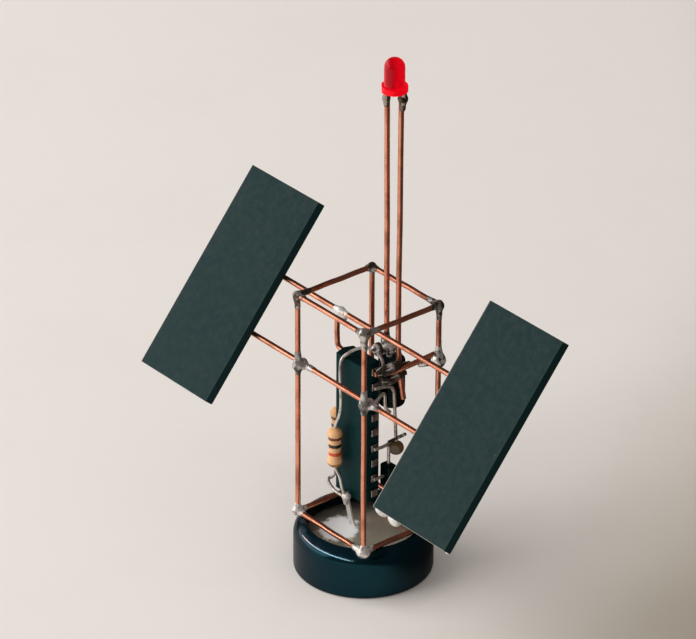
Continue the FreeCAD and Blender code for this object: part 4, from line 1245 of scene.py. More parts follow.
@dataclass
class SolderWork:
    """Every soldered joint: a mound where the wires meet, which creeps along each in a hollow fillet.

    The runs are the coat on the bus wire, its thin tip and the drawn-out masses below it: each has its
    route, its radius and what the radius is multiplied by along it. The loose joint has no node of its own.
    """

    wire: float = 0.4
    film: float = 0.03
    blend: float = 5.0
    ripple: float = 0.05
    pace: float = 2.4
    count: int = 26
    gather: float = 1.7
    halvings: int = 22
    past_reach: float = 2.0
    seed: int = 21
    run_ripple: float = 0.06
    run_pace: float = 3.0
    run_bend: float = 1.0
    run_sides: int = 28
    run_step: float = 0.1
    loose: str = "solder_top_front"
    finishes: dict[str, Finish] = field(default_factory=lambda: {
        "solder_top_corners": BURNT, "solder_bottom_corners": MOTTLED, "solder_crossings": SMUTTED,
        "solder_link": PAINTED_GLINT_SOLDER, "solder_stay": BRIGHT, "solder_stem_foot": PAINTED_GLINT_SOLDER, "solder_lamp": SCORCHED,
        "solder_tab": TINNED})
    runs: tuple[tuple[tuple[Place, ...], float, tuple[float, ...]], ...] = (
        (((3.20, -0.35, 33.42), (3.80, 1.40, 33.85), (4.60, 3.30, 34.40)), 0.78,
         (0.80, 0.98, 1.0, 0.90, 0.55)),
        (((4.45, 2.95, 34.30), (4.65, 4.00, 34.36), (4.66, 4.62, 34.36)), 0.30, (1.0, 0.7, 0.4)),
        (((3.48, 0.25, 32.15), (3.85, 2.20, 32.30), (4.25, 4.30, 32.45)), 0.80,
         (0.75, 1.0, 0.95, 0.75, 0.45)),
        (((3.50, 0.90, 31.45), (3.85, 2.40, 31.70), (4.05, 3.70, 32.00)), 0.55, (0.8, 1.0, 0.9, 0.5)))

    def depth(self, spots: Array, joint: Joint, drawn: Array) -> Array:
        """Gives how far spots lie outside a joint's solder, below zero inside.

        Each arm is a wire's round with a radius that falls from the joint's to the wire's as the square
        of what is left of its reach; the arms run together by the logarithm of summed exponentials, and
        a few slow waves make it uneven.

        Args:
            spots: the places, from the joint.
            joint: the joint.
            drawn: the waves.

        Returns:
            The depths.
        """
        from_start = spots[..., None, :] - joint.start
        share = np.clip(np.sum(from_start * joint.toward, axis=-1) / joint.reach, 0.0, 1.0)
        foot = (share * joint.reach)[..., None] * joint.toward
        coat = self.wire + self.film
        radius = coat + (joint.thick - coat) * (1 - share) ** 2
        gap = np.linalg.norm(from_start - foot, axis=-1) - radius
        joined = -np.log(np.sum(np.exp(-self.blend * gap), axis=-1)) / self.blend
        return joined - self.ripple * wave_sum(spots, drawn) / 2

    def mound(self, joint: Joint, rng: np.random.Generator) -> list[Surface]:
        """Works out a joint's skin: in every direction from its place, how far out the depth is nothing.

        Args:
            joint: the joint.
            rng: the draws for its unevenness.

        Returns:
            Its six grids.
        """
        drawn = draw_waves(rng, self.pace)
        toward = unit(square_grids(self.count, self.gather))
        near = np.zeros(toward.shape[:-1])
        far = np.full(toward.shape[:-1], joint.reach.max() + self.past_reach)
        for _ in range(self.halvings):
            half = (near + far) / 2
            inside = self.depth(half[..., None] * toward, joint, drawn) < 0
            near, far = np.where(inside, half, near), np.where(inside, far, half)
        return plain(near[..., None] * toward, joint.at)

    def joints(self) -> dict[str, list[Joint]]:
        """Lists the joints of each node, from the places of the wires that meet there.

        Returns:
            The joints by node.
        """
        x, y, z = np.eye(3)
        left, front, right, back = LINES.corners(LINES.top)
        low_left, low_front, low_right, low_back = LINES.corners(LINES.bottom)
        crossings = []
        for at in LINES.crossings():
            post = np.array([0.0, LINES.front - at[1], 0.0]) / 2
            arms = [(z, 2.3, post), (-z, 1.4, post), (x, 2.7, -post), (-x, 1.1, -post)]
            crossings.append(Joint(at + post, arms, 0.68))
        link = np.array([LINES.right, LINES.back, 35.0])
        stay = np.array([middle_of("solder_stay")[0] + 0.55, LINES.upper[1], LINES.upper[2] - 0.8])
        leg_left, leg_right = (middle_of(f"lamp_leg_{side}") for side in SIDES)
        feet = np.array([(0.95, 3.35, 36.5), (1.96, 0.80, 36.7), (1.76, 3.10, 35.7)])
        return {
            "solder_top_corners": [Joint(left, [(x, 1.3), (y, 2.1), (-z, 1.9)], 0.52),
                                   Joint(right, [(-x, 2.4), (-y, 1.6), (-z, 2.4)], 0.54),
                                   Joint(back, [(x, 1.3), (-y, 0.8), (-z, 0.9)], 0.46)],
            "solder_top_front": [Joint(front, [(-x, 1.5), (y, 2.6), (-z, 2.8)], 0.70)],
            "solder_bottom_corners": [Joint(low_left, [(x, 1.2), (y, 1.2), (z, 1.2)], 0.63),
                                      Joint(low_front, [(-x, 1.9), (y, 2.0), (z, 1.0)], 0.72),
                                      Joint(low_right, [(-x, 1.3), (-y, 1.3), (z, 1.2)], 0.72),
                                      Joint(low_back, [(x, 1.3), (-y, 1.2), (z, 1.2)], 0.70)],
            "solder_crossings": crossings,
            "solder_link": [Joint(link, [(z, 3.2), (-z, 1.3), (-0.62 * x - 0.72 * y - 0.3 * z, 2.7)], 0.92)],
            "solder_stay": [Joint(stay, [(x, 1.5, 0.75 * z), (-x, 1.8, 0.75 * z), (-x - 0.3 * z, 0.8),
                                         (x - 0.3 * z, 0.7)], 0.52)],
            "solder_stem_foot": [Joint(feet[0], [(z, 1.6), (-z, 1.0)], 0.80),
                                 Joint(feet[1], [(-z, 0.9), (-y, 0.6), (x, 0.3)], 0.64),
                                 Joint(feet[2], [(-z, 0.9), (x, 0.7), (y, 0.5), (-y, 1.2)], 0.66)],
            "solder_lamp": [Joint((leg_left + (1.02, 3.03, 75.6)) / 2 + 0.1 * z, [(z, 0.8), (-z, 0.9)], 0.46),
                            Joint((leg_right + (2.3, 4.56, 75.4)) / 2 + 0.1 * x + 0.1 * y,
                                  [(z, 0.9), (-z, 1.5, -0.1 * x - 0.1 * y)], 0.60)],
            "solder_tab": [Joint(middle_of("solder_tab") + 0.2 * z, [(-z, 1.2), (x, 0.3)], 0.52)]}

    def build(self) -> list[Piece]:
        """Makes the solder.

        Returns:
            The pieces.
        """
        rng = np.random.default_rng(self.seed)
        pieces = []
        for node, joints in self.joints().items():
            skins = [skin for joint in joints for skin in self.mound(joint, rng)]
            replaced = () if node == self.loose else (node,)
            pieces.append(write_piece(f"{node}_mounds", skins, self.finishes.get(node, SOLDER), replaced))
        return [*pieces, self.bus(rng)]

    def bus(self, rng: np.random.Generator) -> Piece:
        """Makes the runs: each carried along its route, and pushed out and in by slow waves.

        Args:
            rng: the draws for its unevenness.

        Returns:
            The piece.
        """
        skins = []
        for places, radius, swell in self.runs:
            route = bent(places, self.run_bend)
            tube = carried(route, radius, self.run_sides, step=self.run_step, swell=np.array(swell))
            waves = wave_sum(tube.points, draw_waves(rng, self.run_pace))[..., None]
            centre = tube.points[:, :-1].mean(axis=1, keepdims=True)
            tube.points = centre + (tube.points - centre) * (1 + self.run_ripple * waves)
            skins.append(tube)
        return write_piece("solder_bus_drawn_out", skins, PAINTED_GLINT_STREAKS, ("solder_bus",))


# ---------------------------------------------------------------- base


@dataclass
class CapacitorBase:
    """The coin-type capacitor that the model stands on: its can, its upper tab and its shrunk sleeve."""

    wall: float = 0.35
    tuck: float = 0.25
    foot_round: float = 0.45
    shoulder_round: float = 1.15
    slope_round: float = 0.7
    slope_drop: float = 0.02
    rim_round: float = 0.22
    shoulder: float = 6.3
    rim_flat: float = 0.5
    lip: float = 8.3
    lid: float = 5.8
    lid_edge: float = 9.9
    crown: float = 0.12
    dome: float = 0.5
    lip_thick: float = 0.05
    inner_round: float = 0.1
    inner_foot: float = 0.4
    corner_steps: int = 9
    sleeve_sides: int = 160
    can_sides: int = 128
    lid_steps: int = 60
    can_rounds: Span = (0.4, 0.3)
    can_crease: float = 60.0
    tab_half: Span = (0.65, 0.15)
    tab_lean: float = 0.39
    tab_edge: float = 0.06
    tab_narrowing: float = 0.4
    tab_bow: float = 0.5
    tab_spans: tuple[int, int, int] = (4, 2, 24)

    def rounded_line(self, corners: list[Place]) -> Array:
        """Follows corners, each rounded off by a parabola.

        Args:
            corners: the radius, the height and the rounding of each.

        Returns:
            The rows of radius and height.
        """
        line = [np.array([corners[0][:2]])]
        for before, corner, after in zip(corners, corners[1:], corners[2:]):
            three = np.array([(*point[:2], 0.0) for point in (before, corner, after)])
            line.append(bent(three, corner[2], self.corner_steps)[1:-1, :2])
        return np.concatenate([*line, [corners[-1][:2]]])

    def sleeve(self) -> Piece:
        """Makes the sleeve: in under the foot, up the wall, over the sloping lip and down to the lid.

        Its profile is turned round the Z axis; behind the lip it follows the can back down to its foot.

        Returns:
            The piece.
        """
        low, high = node_box("base_sleeve")
        outer, inner, behind = high[0], high[0] - self.wall, self.lid - self.dome
        start = (inner - self.tuck, low[2], 0.0)
        profile = self.rounded_line([
            start, (outer, low[2], self.foot_round), (outer, self.shoulder, self.shoulder_round),
            (self.lip + self.rim_flat, high[2] - self.slope_drop, self.slope_round),
            (self.lip, high[2], self.rim_round), (self.lip + self.lip_thick, behind, self.lip_thick),
            (inner, behind, self.inner_round), (inner, self.inner_foot, self.inner_round), start])
        skin = turned(profile, np.zeros(3), sides=self.sleeve_sides)
        return write_piece("base_sleeve_shrunk", [skin], SLEEVE, ("base_sleeve",))

    def can(self) -> Piece:
        """Makes the can: flat below and slightly domed above.

        The lid stands its crown above its node at the middle, and falls to the lip by the dome's
        height as the square of the radius.

        Returns:
            The piece.
        """
        low, high = node_box("base_can")
        reach = np.linspace(self.lid_edge, 0.0, self.lid_steps)
        lid = np.stack([reach, high[2] + self.crown - self.dome * (reach / self.lip) ** 2], axis=1)
        foot_round, edge_round = self.can_rounds
        foot = self.rounded_line([(0.0, low[2], 0.0), (high[0], low[2], foot_round),
                                  (high[0], lid[0, 1], edge_round), (*lid[0], 0.0)])
        skin = turned(np.concatenate([foot, lid]), np.zeros(3), sides=self.can_sides)
        return write_piece("base_can_pressed", [skin], CAN, ("base_can",), crease=self.can_crease)

    def tab(self) -> Piece:
        """Makes the tab: a thin strip that stands up from the lid, leans forward, bows and narrows.

        Returns:
            The piece.
        """
        low, high = node_box("base_tab")
        wide, thick = self.tab_half
        foot = np.array([low[0] + wide, high[1] - thick, low[2]])
        top = np.array([high[0] - self.tab_lean, low[1] + thick, high[2]])
        half = np.array([wide, thick, np.linalg.norm(top - foot) / 2])
        grids = []
        for grid in rounded_block(half, self.tab_edge, spans=self.tab_spans):
            share = (grid[..., 2:] / half[2] + 1) / 2
            bow, narrow = -self.tab_bow * share * (1 - share), 1 - self.tab_narrowing * share
            line = foot + share * (top - foot) + bow * (0, 1, 0)
            grids.append(line + grid * (1, 1, 0) * np.concatenate([narrow, 1 + 0 * share, share], axis=-1))
        return write_piece("base_tab_bent", plain(grids), TINNED, ("base_tab",))

    def build(self) -> list[Piece]:
        """Makes the sleeve, the can and the tab."""
        return [self.sleeve(), self.can(), self.tab()]


# ---------------------------------------------------------------- panels


@dataclass
class CellPlates:
    """The two solar plates, each a rounded slab that leans back."""

    lean: float = math.radians(50.6)
    edge: float = 0.13

    def plate(self, node: str, finish: Finish) -> Piece:
        """Makes a plate: a block with rounded edges, turned about X to its lean.

        Its length and thickness come from its node's depth and height, which are their shares by the
        lean's cosine and sine. Its map gives the distances from its left and from its lower edge.

        Args:
            node: the plate's node.
            finish: its finish.

        Returns:
            The piece.
        """
        low, high = node_box(node)
        size = high - low
        cosine, sine = math.cos(self.lean), math.sin(self.lean)
        length, thickness = np.linalg.solve(np.array([[cosine, sine], [sine, cosine]]), size[1:])
        half = np.array([size[0], length, thickness]) / 2
        turn = np.array([[1.0, 0.0, 0.0], [0.0, cosine, -sine], [0.0, sine, cosine]])
        surfaces = [Surface(grid @ turn.T + (low + high) / 2, (grid + half)[..., :2])
                    for grid in rounded_block(half, self.edge)]
        return write_piece(f"{node}_plate", surfaces, finish, (node,))

    def build(self) -> list[Piece]:
        """Makes both plates."""
        return [self.plate("panel_left", CELL), self.plate("panel_right", EDGE_LIT_CELL)]


@dataclass
class PlateSolder:
    """The solder that holds the plates to their two wires, and the lumps under the right plate's edge.

    Each lump has its place along the edge, its foot's radius and how far it rises.
    """

    drop: float = 1.0
    foot: float = 1.25
    sunk: float = 0.42
    steps: int = 20
    mound_sides: int = 28
    lump_sides: int = 40
    hollow: float = 0.8
    wave: float = 3.0
    waviness: float = 0.08
    corner: Place = (0.0, 1.236, 0.3)
    lumps: tuple[Place, ...] = ((1.0, 1.2, 0.9), (3.75, 1.1, 1.25), (15.1, 0.45, 0.5))

    def mound(self, at: Array, toward: Array) -> Surface:
        """Makes a low mound: turned, with a hollow slope and a round head.

        Args:
            at: the middle of its foot.
            toward: the way it rises.

        Returns:
            Its surface.
        """
        share = np.linspace(0.0, 1.0, self.steps)
        radius = self.foot * (0.5 + 0.5 * np.cos(math.pi * share)) ** self.hollow
        profile = np.concatenate([[(0.0, 0.0)], np.stack([radius, self.drop * share**self.hollow], axis=1)])
        return turned(profile, at, toward, self.mound_sides)

    def lump(self, at: Array, wide: float, toward: Array, tall: float) -> Surface:
        """Makes a round lump: half an oval, turned, with two slow waves round it.

        Args:
            at: the middle of its foot.
            wide: its foot's radius.
            toward: the way it rises.
            tall: how far it rises.

        Returns:
            Its surface.
        """
        angle = np.linspace(0.0, math.pi / 2, self.steps)
        oval = np.stack([wide * np.cos(angle), tall * np.sin(angle)], axis=1)
        skin = turned(np.concatenate([[(0.0, 0.0)], oval]), np.zeros(3), toward, self.lump_sides)
        across, up = skin.points[..., :1], skin.points[..., 2:]
        waves = np.sin(self.wave * across + at[0]) + np.sin(self.wave * up)
        skin.points = at + skin.points * (1 + self.waviness * waves)
        return skin

    def build(self) -> list[Piece]:
        """Makes the mounds where each plate lies on its wires, and the right plate's lumps.

        Returns:
            The pieces.
        """
        pieces = []
        cosine, sine = math.cos(CellPlates.lean), math.sin(CellPlates.lean)
        down, edge = np.array([0.0, sine, -cosine]), np.array([0.0, -cosine, -sine])
        for side, inward in zip(SIDES, (1.0, -1.0)):
            low, high = node_box(f"panel_{side}")
            across = (low[0] + high[0]) / 2 + inward * (high[0] - low[0]) / 4
            surfaces = [self.mound(np.array([across, *wire[1:]]) - self.sunk * down, down)
                        for wire in (LINES.lower, LINES.upper)]
            if side == "right":
                surfaces += [self.lump(low + self.corner + (along, 0.0, 0.0), wide, edge, tall)
                             for along, wide, tall in self.lumps]
            pieces.append(write_piece(f"panel_{side}_mounds", surfaces, BRIGHT, (f"panel_{side}_joints",)))
        return pieces


# ---------------------------------------------------------------- parts


@dataclass
class Resistors:
    """The two axial resistors: round lacquered bodies, fuller at both ends."""

    waist: float = 0.93
    shoulder: float = 0.72
    shoulder_width: float = 0.22
    round_from: float = 0.74
    steps: int = 60

    def body(self, node: str) -> Piece:
        """Makes a body: turned, with a bell-shaped swelling near each end and ends that close as ellipses.

        Args:
            node: the resistor's node.

        Returns:
            The piece.
        """
        low, high = node_box(node)
        full = (high[0] - low[0]) / 2
        off = -np.cos(np.linspace(0.0, math.pi, self.steps))
        out = np.abs(off)
        swell = np.exp(-(((out - self.shoulder) / self.shoulder_width) ** 2))
        closing = np.sqrt(1 - np.clip((out - self.round_from) / (1 - self.round_from), 0.0, 1.0) ** 2)
        radius = (self.waist + (full - self.waist) * swell) * closing
        profile = np.stack([radius, (off + 1) * (high[2] - low[2]) / 2], axis=1)
        return write_piece(f"{node}_lacquered", [turned(profile, foot_of(node))], RESISTOR, (node,))

    def build(self) -> list[Piece]:
        """Makes both resistors."""
        return [self.body(f"resistor_{place}_body") for place in ("front", "rear")]


@dataclass
class Lamp:
    """The red lamp: a domed lens on a flange with a flat, the frame that shows inside it, and its legs.

    Each plate of the frame has its place across, half its width and its height.
    """

    turn: float = math.radians(50.6)
    dome: float = 1.5
    flange: float = 1.95
    flat: float = 0.12
    flange_height: float = 1.0
    flange_round: float = 0.15
    wall_foot: Span = (0.05, 0.12)
    steps: int = 16
    sides: int = 96
    plates: tuple[Place, ...] = ((-0.42, 0.42, 1.5), (0.62, 0.2, 1.3))
    plate_half: float = 0.22
    plate_edge: float = 0.06
    plate_foot: float = 0.25
    leg_half: float = 0.25
    leg_edge: float = 0.05
    crease: float = 50.0

    def turned_round(self, points: Array) -> Array:
        """Turns points about Z by the lamp's turn."""
        cosine, sine = math.cos(self.turn), math.sin(self.turn)
        return points @ np.array([[cosine, -sine, 0.0], [sine, cosine, 0.0], [0.0, 0.0, 1.0]]).T

    def lens(self, centre: Array, height: float) -> Surface:
        """Makes the lens: a turned line of foot, flange, wall and dome, cut flat on one side.

        Args:
            centre: the middle of its foot.
            height: how tall it is.

        Returns:
            Its surface.
        """
        quarter = np.linspace(0.0, math.pi / 2, self.steps)
        arc = self.flange_round * np.stack([np.sin(quarter), -np.cos(quarter)], axis=1)
        inner = self.flange - self.flange_round
        foot = arc + (inner, self.flange_round)
        shoulder = arc[::-1] * (1, -1) + (inner, self.flange_height - self.flange_round)
        wall = np.array([(self.dome + self.wall_foot[0], self.flange_height),
                         (self.dome, self.flange_height + self.wall_foot[1])])
        top = np.stack([np.cos(quarter), np.sin(quarter)], axis=1) * self.dome + (0, height - self.dome)
        profile = np.concatenate([[(0.0, 0.0)], foot, shoulder, wall, top])
        skin = turned(profile, np.zeros(3), sides=self.sides)
        skin.points[..., 0] = np.maximum(skin.points[..., 0], self.flat - self.flange)
        skin.points = self.turned_round(skin.points) + centre
        return skin

    def blocks(self, half: Array, edge: float, at: Array, off: Place = (0.0, 0.0, 0.0)) -> list[Surface]:
        """Makes a block with rounded edges, moved off, then turned with the lamp and put at a place."""
        return plain([self.turned_round(grid + off) for grid in rounded_block(half, edge)], at)

    def build(self) -> list[Piece]:
        """Makes the lens, the frame in it and the two legs.

        Returns:
            The pieces.
        """
        low, high = node_box("lamp_lens")
        legs = [f"lamp_leg_{side}" for side in SIDES]
        centre = (middle_of(legs[0]) + middle_of(legs[1])) / 2
        centre[2] = low[2]
        lens = self.lens(centre, high[2] - low[2])
        plates = []
        for across, wide, tall in self.plates:
            half = np.array([wide, self.plate_half, tall / 2])
            plates += self.blocks(half, self.plate_edge, centre, (across, 0.0, self.plate_foot + tall / 2))
        pieces = [write_piece("lamp_lens_domed", [lens], LENS, ("lamp_lens",), crease=self.crease),
                  write_piece("lamp_lens_frame", plates, FRAME, ())]
        for leg in legs:
            low, high = node_box(leg)
            half = np.array([self.leg_half, self.leg_half, (high[2] - low[2]) / 2])
            skins = self.blocks(half, self.leg_edge, (low + high) / 2)
            pieces.append(write_piece(f"{leg}_stamped", skins, LEAD, (leg,)))
        return pieces


@dataclass
class Chip:
    """The chip: a moulded body with drafted sides and a notch, and its trimmed pins."""

    draft: float = math.tan(math.radians(8.0))
    edge: float = 0.16
    notch: float = 0.8
    notch_depth: float = 0.5
    notch_wall: float = 0.12
    notch_face: float = 0.6
    crease: float = 40.0
    spans: tuple[int, int, int] = (32, 8, 80)
    pin_edge: float = 0.09
    pin_thick: float = 0.27
    pin_stub: float = 1.15
    pin_count: int = 9
    pin_jog: float = 0.03
    neck_less: Place = (0.05, 0.0, 0.02)
    seed: int = 5

    def body(self) -> Piece:
        """Makes the body: a rounded block whose sides draw in by the draft's slope from the middle plane.

        The notch is sunk into the front face at its lower end, where the distance from the notch's
        middle is less than its radius.

        Returns:
            The piece.
        """
        low, high = node_box("chip_body")
        half = (high - low) / 2
        grids = []
        for grid in rounded_block(half, self.edge, spans=self.spans):
            draw = np.abs(grid[..., 1:2]) * self.draft
            shrink = (1 - draw / half[0], np.ones_like(draw), 1 - draw / half[2])
            grid = grid * np.concatenate(shrink, axis=-1)
            away = np.hypot(grid[..., 0], grid[..., 2] + half[2])
            front = grid[..., 1] < -half[1] * self.notch_face
            sunk = np.clip((self.notch - away) / self.notch_wall, 0.0, 1.0) * front
            grid[..., 1] += self.notch_depth * sunk
            grids.append(grid)
        return write_piece("chip_body_moulded", plain(grids, (low + high) / 2), CHIP, ("chip_body",),
                           crease=self.crease)

    def pins(self, side: str, outward: float, rng: np.random.Generator) -> Piece:
        """Makes a row of pins: each a stamped strip that leaves the body and turns back, a little uneven.

        Args:
            side: which row.
            outward: 1 where the pins leave towards greater X, -1 towards smaller.
            rng: the draws for their unevenness.

        Returns:
            The piece.
        """
        low, high = node_box(f"chip_pins_{side}")
        wide = (high[2] - low[2]) - PITCH * (self.pin_count - 1)
        face = high[0] if outward > 0 else low[0]
        stub = np.array([self.pin_thick, self.pin_stub, wide]) / 2
        neck = np.array([(high[0] - low[0]) / 2, self.pin_thick / 2, wide / 2])
        skins = []
        for number in range(self.pin_count):
            level = low[2] + wide / 2 + PITCH * number
            jog = rng.normal(0.0, self.pin_jog, 3) * (0, 1, 1)
            at = np.array([face - outward * stub[0], low[1] + stub[1], level])
            skins += plain(rounded_block(stub, self.pin_edge), at + jog)
            at = np.array([(low[0] + high[0]) / 2 - outward * self.neck_less[0], low[1] + neck[1], level])
            skins += plain(rounded_block(neck - self.neck_less, self.pin_edge), at)
        return write_piece(f"chip_pins_{side}_stamped", skins, PIN, (f"chip_pins_{side}",))

    def build(self) -> list[Piece]:
        """Makes the body and both rows of pins."""
        rng = np.random.default_rng(self.seed)
        return [self.body(), *(self.pins(side, outward, rng) for side, outward in zip(SIDES, (-1.0, 1.0)))]


@dataclass
class SmallParts:
    """The bulk capacitor and the small black part behind the chip, and the dipped disc below them."""

    fuller: float = 1.05
    bulk_shift: Place = (-0.25, -0.30, 0.0)
    bulk_round: float = 0.45
    groove: Place = (1.1, 0.2, 0.12)
    end_steps: int = 14
    wall_steps: int = 40
    disc_half: float = 0.64
    disc_round: float = 0.45
    disc_steps: int = 40
    disc_toward: Place = (0.77, -0.64, 0.0)
    device_edge: float = 0.3

    def bulk(self) -> Piece:
        """Makes the bulk capacitor: turned, with a rolled groove of a level, a width and a depth.

        Returns:
            The piece.
        """
        low, high = node_box("bulk_capacitor")
        radius, tall, edge = (high[0] - low[0]) / 2 * self.fuller, high[2] - low[2], self.bulk_round
        level, wide, deep = self.groove
        height = np.concatenate([np.linspace(0.0, edge, self.end_steps),
                                 np.linspace(edge, tall - edge, self.wall_steps)[1:-1],
                                 np.linspace(tall - edge, tall, self.end_steps)])
        off = np.clip(np.abs(height - tall / 2) - (tall / 2 - edge), 0.0, edge)
        reach = radius - edge + np.sqrt(np.maximum(edge**2 - off**2, 0.0))
        reach = reach - deep * np.exp(-(((height - level) / wide) ** 2))
        profile = np.concatenate([[(0.0, 0.0)], np.stack([reach, height], axis=1), [(0.0, tall)]])
        skin = turned(profile, foot_of("bulk_capacitor") + self.bulk_shift)
        return write_piece("bulk_capacitor_sleeved", [skin], BLACK, ("bulk_capacitor",))

    def disc(self) -> Piece:
        """Makes the dipped disc: a lens-shaped bead, turned round the way it faces.

        Returns:
            The piece.
        """
        low, high = node_box("disc_capacitor")
        turn = np.linspace(0.0, math.pi, self.disc_steps)
        radius = (high[2] - low[2]) / 2 * np.sin(turn) ** self.disc_round
        profile = np.stack([radius, -self.disc_half * np.cos(turn)], axis=1)
        skin = turned(profile, (low + high) / 2, np.array(self.disc_toward))
        return write_piece("disc_capacitor_dipped", [skin], DIPPED, ("disc_capacitor",))

    def device(self) -> Piece:
        """Makes the small black part: a rounded block with a flat front.

        Returns:
            The piece.
        """
        low, high = node_box("device_body")
        skins = plain(rounded_block((high - low) / 2, self.device_edge), (low + high) / 2)
        return write_piece("device_body_moulded", skins, BLACK, ("device_body",))

    def build(self) -> list[Piece]:
        """Makes the three parts."""
        return [self.bulk(), self.disc(), self.device()]


# ---------------------------------------------------------------- studio


@dataclass(frozen=True)
class Camera:
    """The camera: its angles, its distance from a point on the model, in millimetres, and its lens."""

    azimuth: float = math.radians(50.571)
    elevation: float = math.radians(28.829)
    roll: float = math.radians(0.227)
    distance: float = 717.763
    target: Place = (-1.518, -1.86, 40.824)
    lens: float = 258.62
    sensor: float = 36.0
    clip: Span = (0.01, 20.0)

    def build(self) -> None:
        """Makes the camera, looking at its target along its azimuth and elevation."""
        across, along = math.cos(self.elevation), math.sin(self.elevation)
        back = Vector((math.sin(self.azimuth) * across, -math.cos(self.azimuth) * across, along))
        right = Vector((math.cos(self.azimuth), math.sin(self.azimuth), 0.0))
        up = back.cross(right)
        rolled_right = math.cos(self.roll) * right + math.sin(self.roll) * up
        rolled_up = math.cos(self.roll) * up - math.sin(self.roll) * right
        spot = (Vector(self.target) + back * self.distance) * MM
        data = bpy.data.cameras.new("camera")
        data.lens, data.sensor_width = self.lens, self.sensor
        data.clip_start, data.clip_end = self.clip
        camera = bpy.data.objects.new("camera", data)
        turn = Matrix((rolled_right, rolled_up, back)).transposed().to_4x4()
        camera.matrix_world = Matrix.Translation(spot) @ turn
        bpy.context.scene.collection.objects.link(camera)
        bpy.context.scene.camera = camera


def area_light(name: str, shape: str, size: float, power: float, colour: Colour) -> bpy.types.Object:
    """Makes a lamp that shines from a flat shape.

    Args:
        name: the lamp's name.
        shape: the shape's kind.
        size: its side or width, in metres.
        power: its power.
        colour: its colour.

    Returns:
        The lamp.
    """
    data = bpy.data.lights.new(name, "AREA")
    data.shape, data.size, data.energy, data.color = shape, size, power, colour
    light = bpy.data.objects.new(name, data)
    bpy.context.scene.collection.objects.link(light)
    return light


@dataclass(frozen=True)
class SoftLight:
    """A square soft light, the window: where it stands from the model, in metres, its side and its power."""

    place: Place = (-0.48, -0.56, 0.55)
    side: float = 0.90
    power: float = 7.9
    colour: Colour = (1.0, 0.99, 0.98)

    def build(self) -> None:
        """Makes the light, facing the model."""
        light = area_light("window", "SQUARE", self.side, self.power, self.colour)
        light.location = self.place
        light.visible_glossy = False
        light.rotation_mode = "QUATERNION"
        light.rotation_quaternion = (-Vector(self.place)).to_track_quat("-Z", "Y")


@dataclass(frozen=True)
class ShoulderLight:
    """A thin oval light that only one piece receives: the gleam of a window's edge along its shoulder.

    It reaches across between two directions from the model, at a distance, in metres.
    """

    start: Place = (-0.93, -0.22, 0.40)
    end: Place = (0.50, -0.76, 0.38)
    away: float = 0.6
    width: float = 0.045
    power: float = 6.0
    colour: Colour = (1.0, 0.38, 0.37)
    piece: str = "base_sleeve_shrunk"

    def build(self) -> None:
        """Makes the light along the line between its ends, facing the model."""
        start, end = Vector(self.start) * self.away, Vector(self.end) * self.away
        light = area_light("shoulder", "ELLIPSE", (end - start).length, self.power, self.colour)
        light.data.size_y = self.width
        light.data.diffuse_factor = 0.0
        middle, along = (start + end) / 2, (end - start).normalized()
        up = middle.normalized().cross(along).normalized()
        turn = Matrix((along, up, along.cross(up))).transposed().to_4x4()
        light.matrix_world = Matrix.Translation(middle) @ turn
        lit = bpy.data.collections.new("shoulder lit")
        lit.objects.link(bpy.data.objects[self.piece])
        light.light_linking.receiver_collection = lit


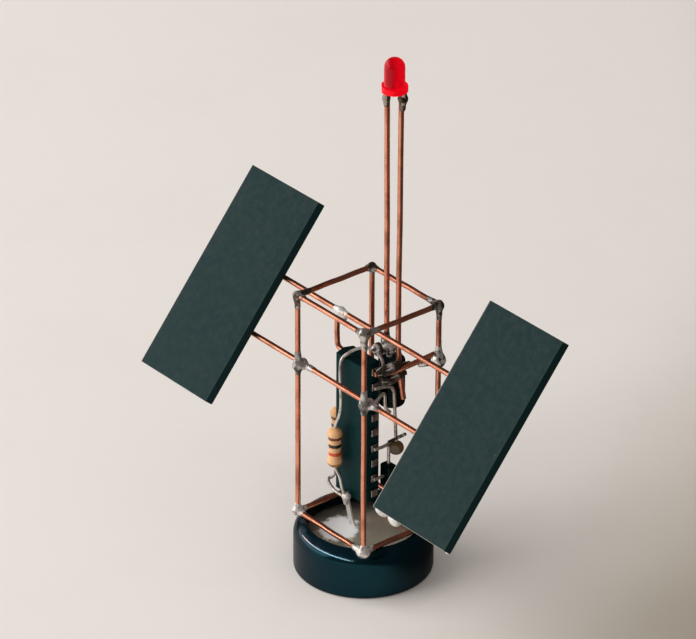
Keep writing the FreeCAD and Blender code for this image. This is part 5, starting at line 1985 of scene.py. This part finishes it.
@dataclass
class Studio:
    """The floor, the lights and the room round the model.

    The room is bright one way, up to a height; a band of it at a level is brighter in what the model
    mirrors. Levels and ways are of the direction that a ray goes in, from -1 to 1.
    """

    floor_half: float = 3000.0
    floor: Finish = PaleFloor("floor", None, (0.89, 0.845, 0.81), (0.87, 0.825, 0.785), patch_scale=30.0,
                              rough_low=0.75, rough_high=0.85, relief_scale=800.0, relief_depth=0.02)
    room_bright: Colour = (1.10, 1.07, 1.05)
    room_dark: Colour = (0.075, 0.062, 0.055)
    room_soft: Colour = (0.42, 0.40, 0.385)
    room_toward: Place = (-0.70, -0.62, 0.36)
    room_edge: Span = (0.72, 0.86)
    room_top: Span = (0.66, 0.42)
    band_level: float = 0.27
    band_half: float = 0.11
    band_toward: Place = (-0.62, -0.78, 0.0)
    band_edge: Span = (0.35, 0.97)
    band_power: float = 3.3

    def build(self) -> None:
        """Makes the floor, the lights, the room and the camera."""
        line = np.array([-self.floor_half, self.floor_half])
        points = np.stack([*np.meshgrid(line, line), np.zeros((2, 2))], axis=-1)
        mesh = bpy.data.meshes.new("floor")
        mesh.from_pydata((points.reshape(-1, 3) * MM).tolist(), [], [(0, 1, 3, 2)])
        mesh.materials.append(self.floor.material())
        floor = bpy.data.objects.new("floor", mesh)
        bpy.context.scene.collection.objects.link(floor)
        for part in (SoftLight(), ShoulderLight(), Camera()):
            part.build()
        self.room()
        bpy.context.scene.view_settings.view_transform = "Standard"

    def room(self) -> None:
        """Makes the room's light: bright on the window's side and dim on the other, pale to the camera."""
        world = bpy.data.worlds.new("room")
        world.use_nodes = True
        bpy.context.scene.world = world
        tree = Tree(world.node_tree)
        background = world.node_tree.nodes["Background"].inputs
        path = tree.add("LightPath").outputs
        way = tree.add("TexCoord").outputs["Generated"]
        level = tree.split(way)["Z"]
        bright = tree.math("MULTIPLY", tree.smooth(tree.dot(way, self.room_toward), *self.room_edge),
                           tree.smooth(level, *self.room_top))
        dim = tree.mix(path["Is Diffuse Ray"], self.room_dark, self.room_soft)
        lit = tree.mix(bright, dim, self.room_bright)
        far = tree.math("ABSOLUTE", tree.math("SUBTRACT", level, self.band_level))
        beside = tree.ramp(tree.dot(way, self.band_toward), *self.band_edge, rise=Rise.SMOOTHER)
        strip = tree.math("MULTIPLY", tree.smooth(far, self.band_half, 0.0), beside)
        mirrored = tree.math("MULTIPLY", strip, path["Is Glossy Ray"])
        tree.set(background["Strength"], tree.math("MULTIPLY_ADD", mirrored, self.band_power, 1.0))
        tree.set(background["Color"], tree.mix(path["Is Camera Ray"], lit, self.floor.colour))


ASSEMBLIES = (BareWire(), Masts(), Leads(), SolderWork(), CapacitorBase(), CellPlates(), PlateSolder(),
              Resistors(), Lamp(), Chip(), SmallParts())


def main() -> None:
    """Builds the sub-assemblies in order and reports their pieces."""
    logging.basicConfig(level=logging.INFO, format="%(message)s")
    for assembly in ASSEMBLIES:
        for piece in assembly.build():
            LOG.info("%s: %s, %d faces", type(assembly).__name__, piece.name, len(piece.data.polygons))
    Studio().build()


if __name__ == "__main__":
    main()
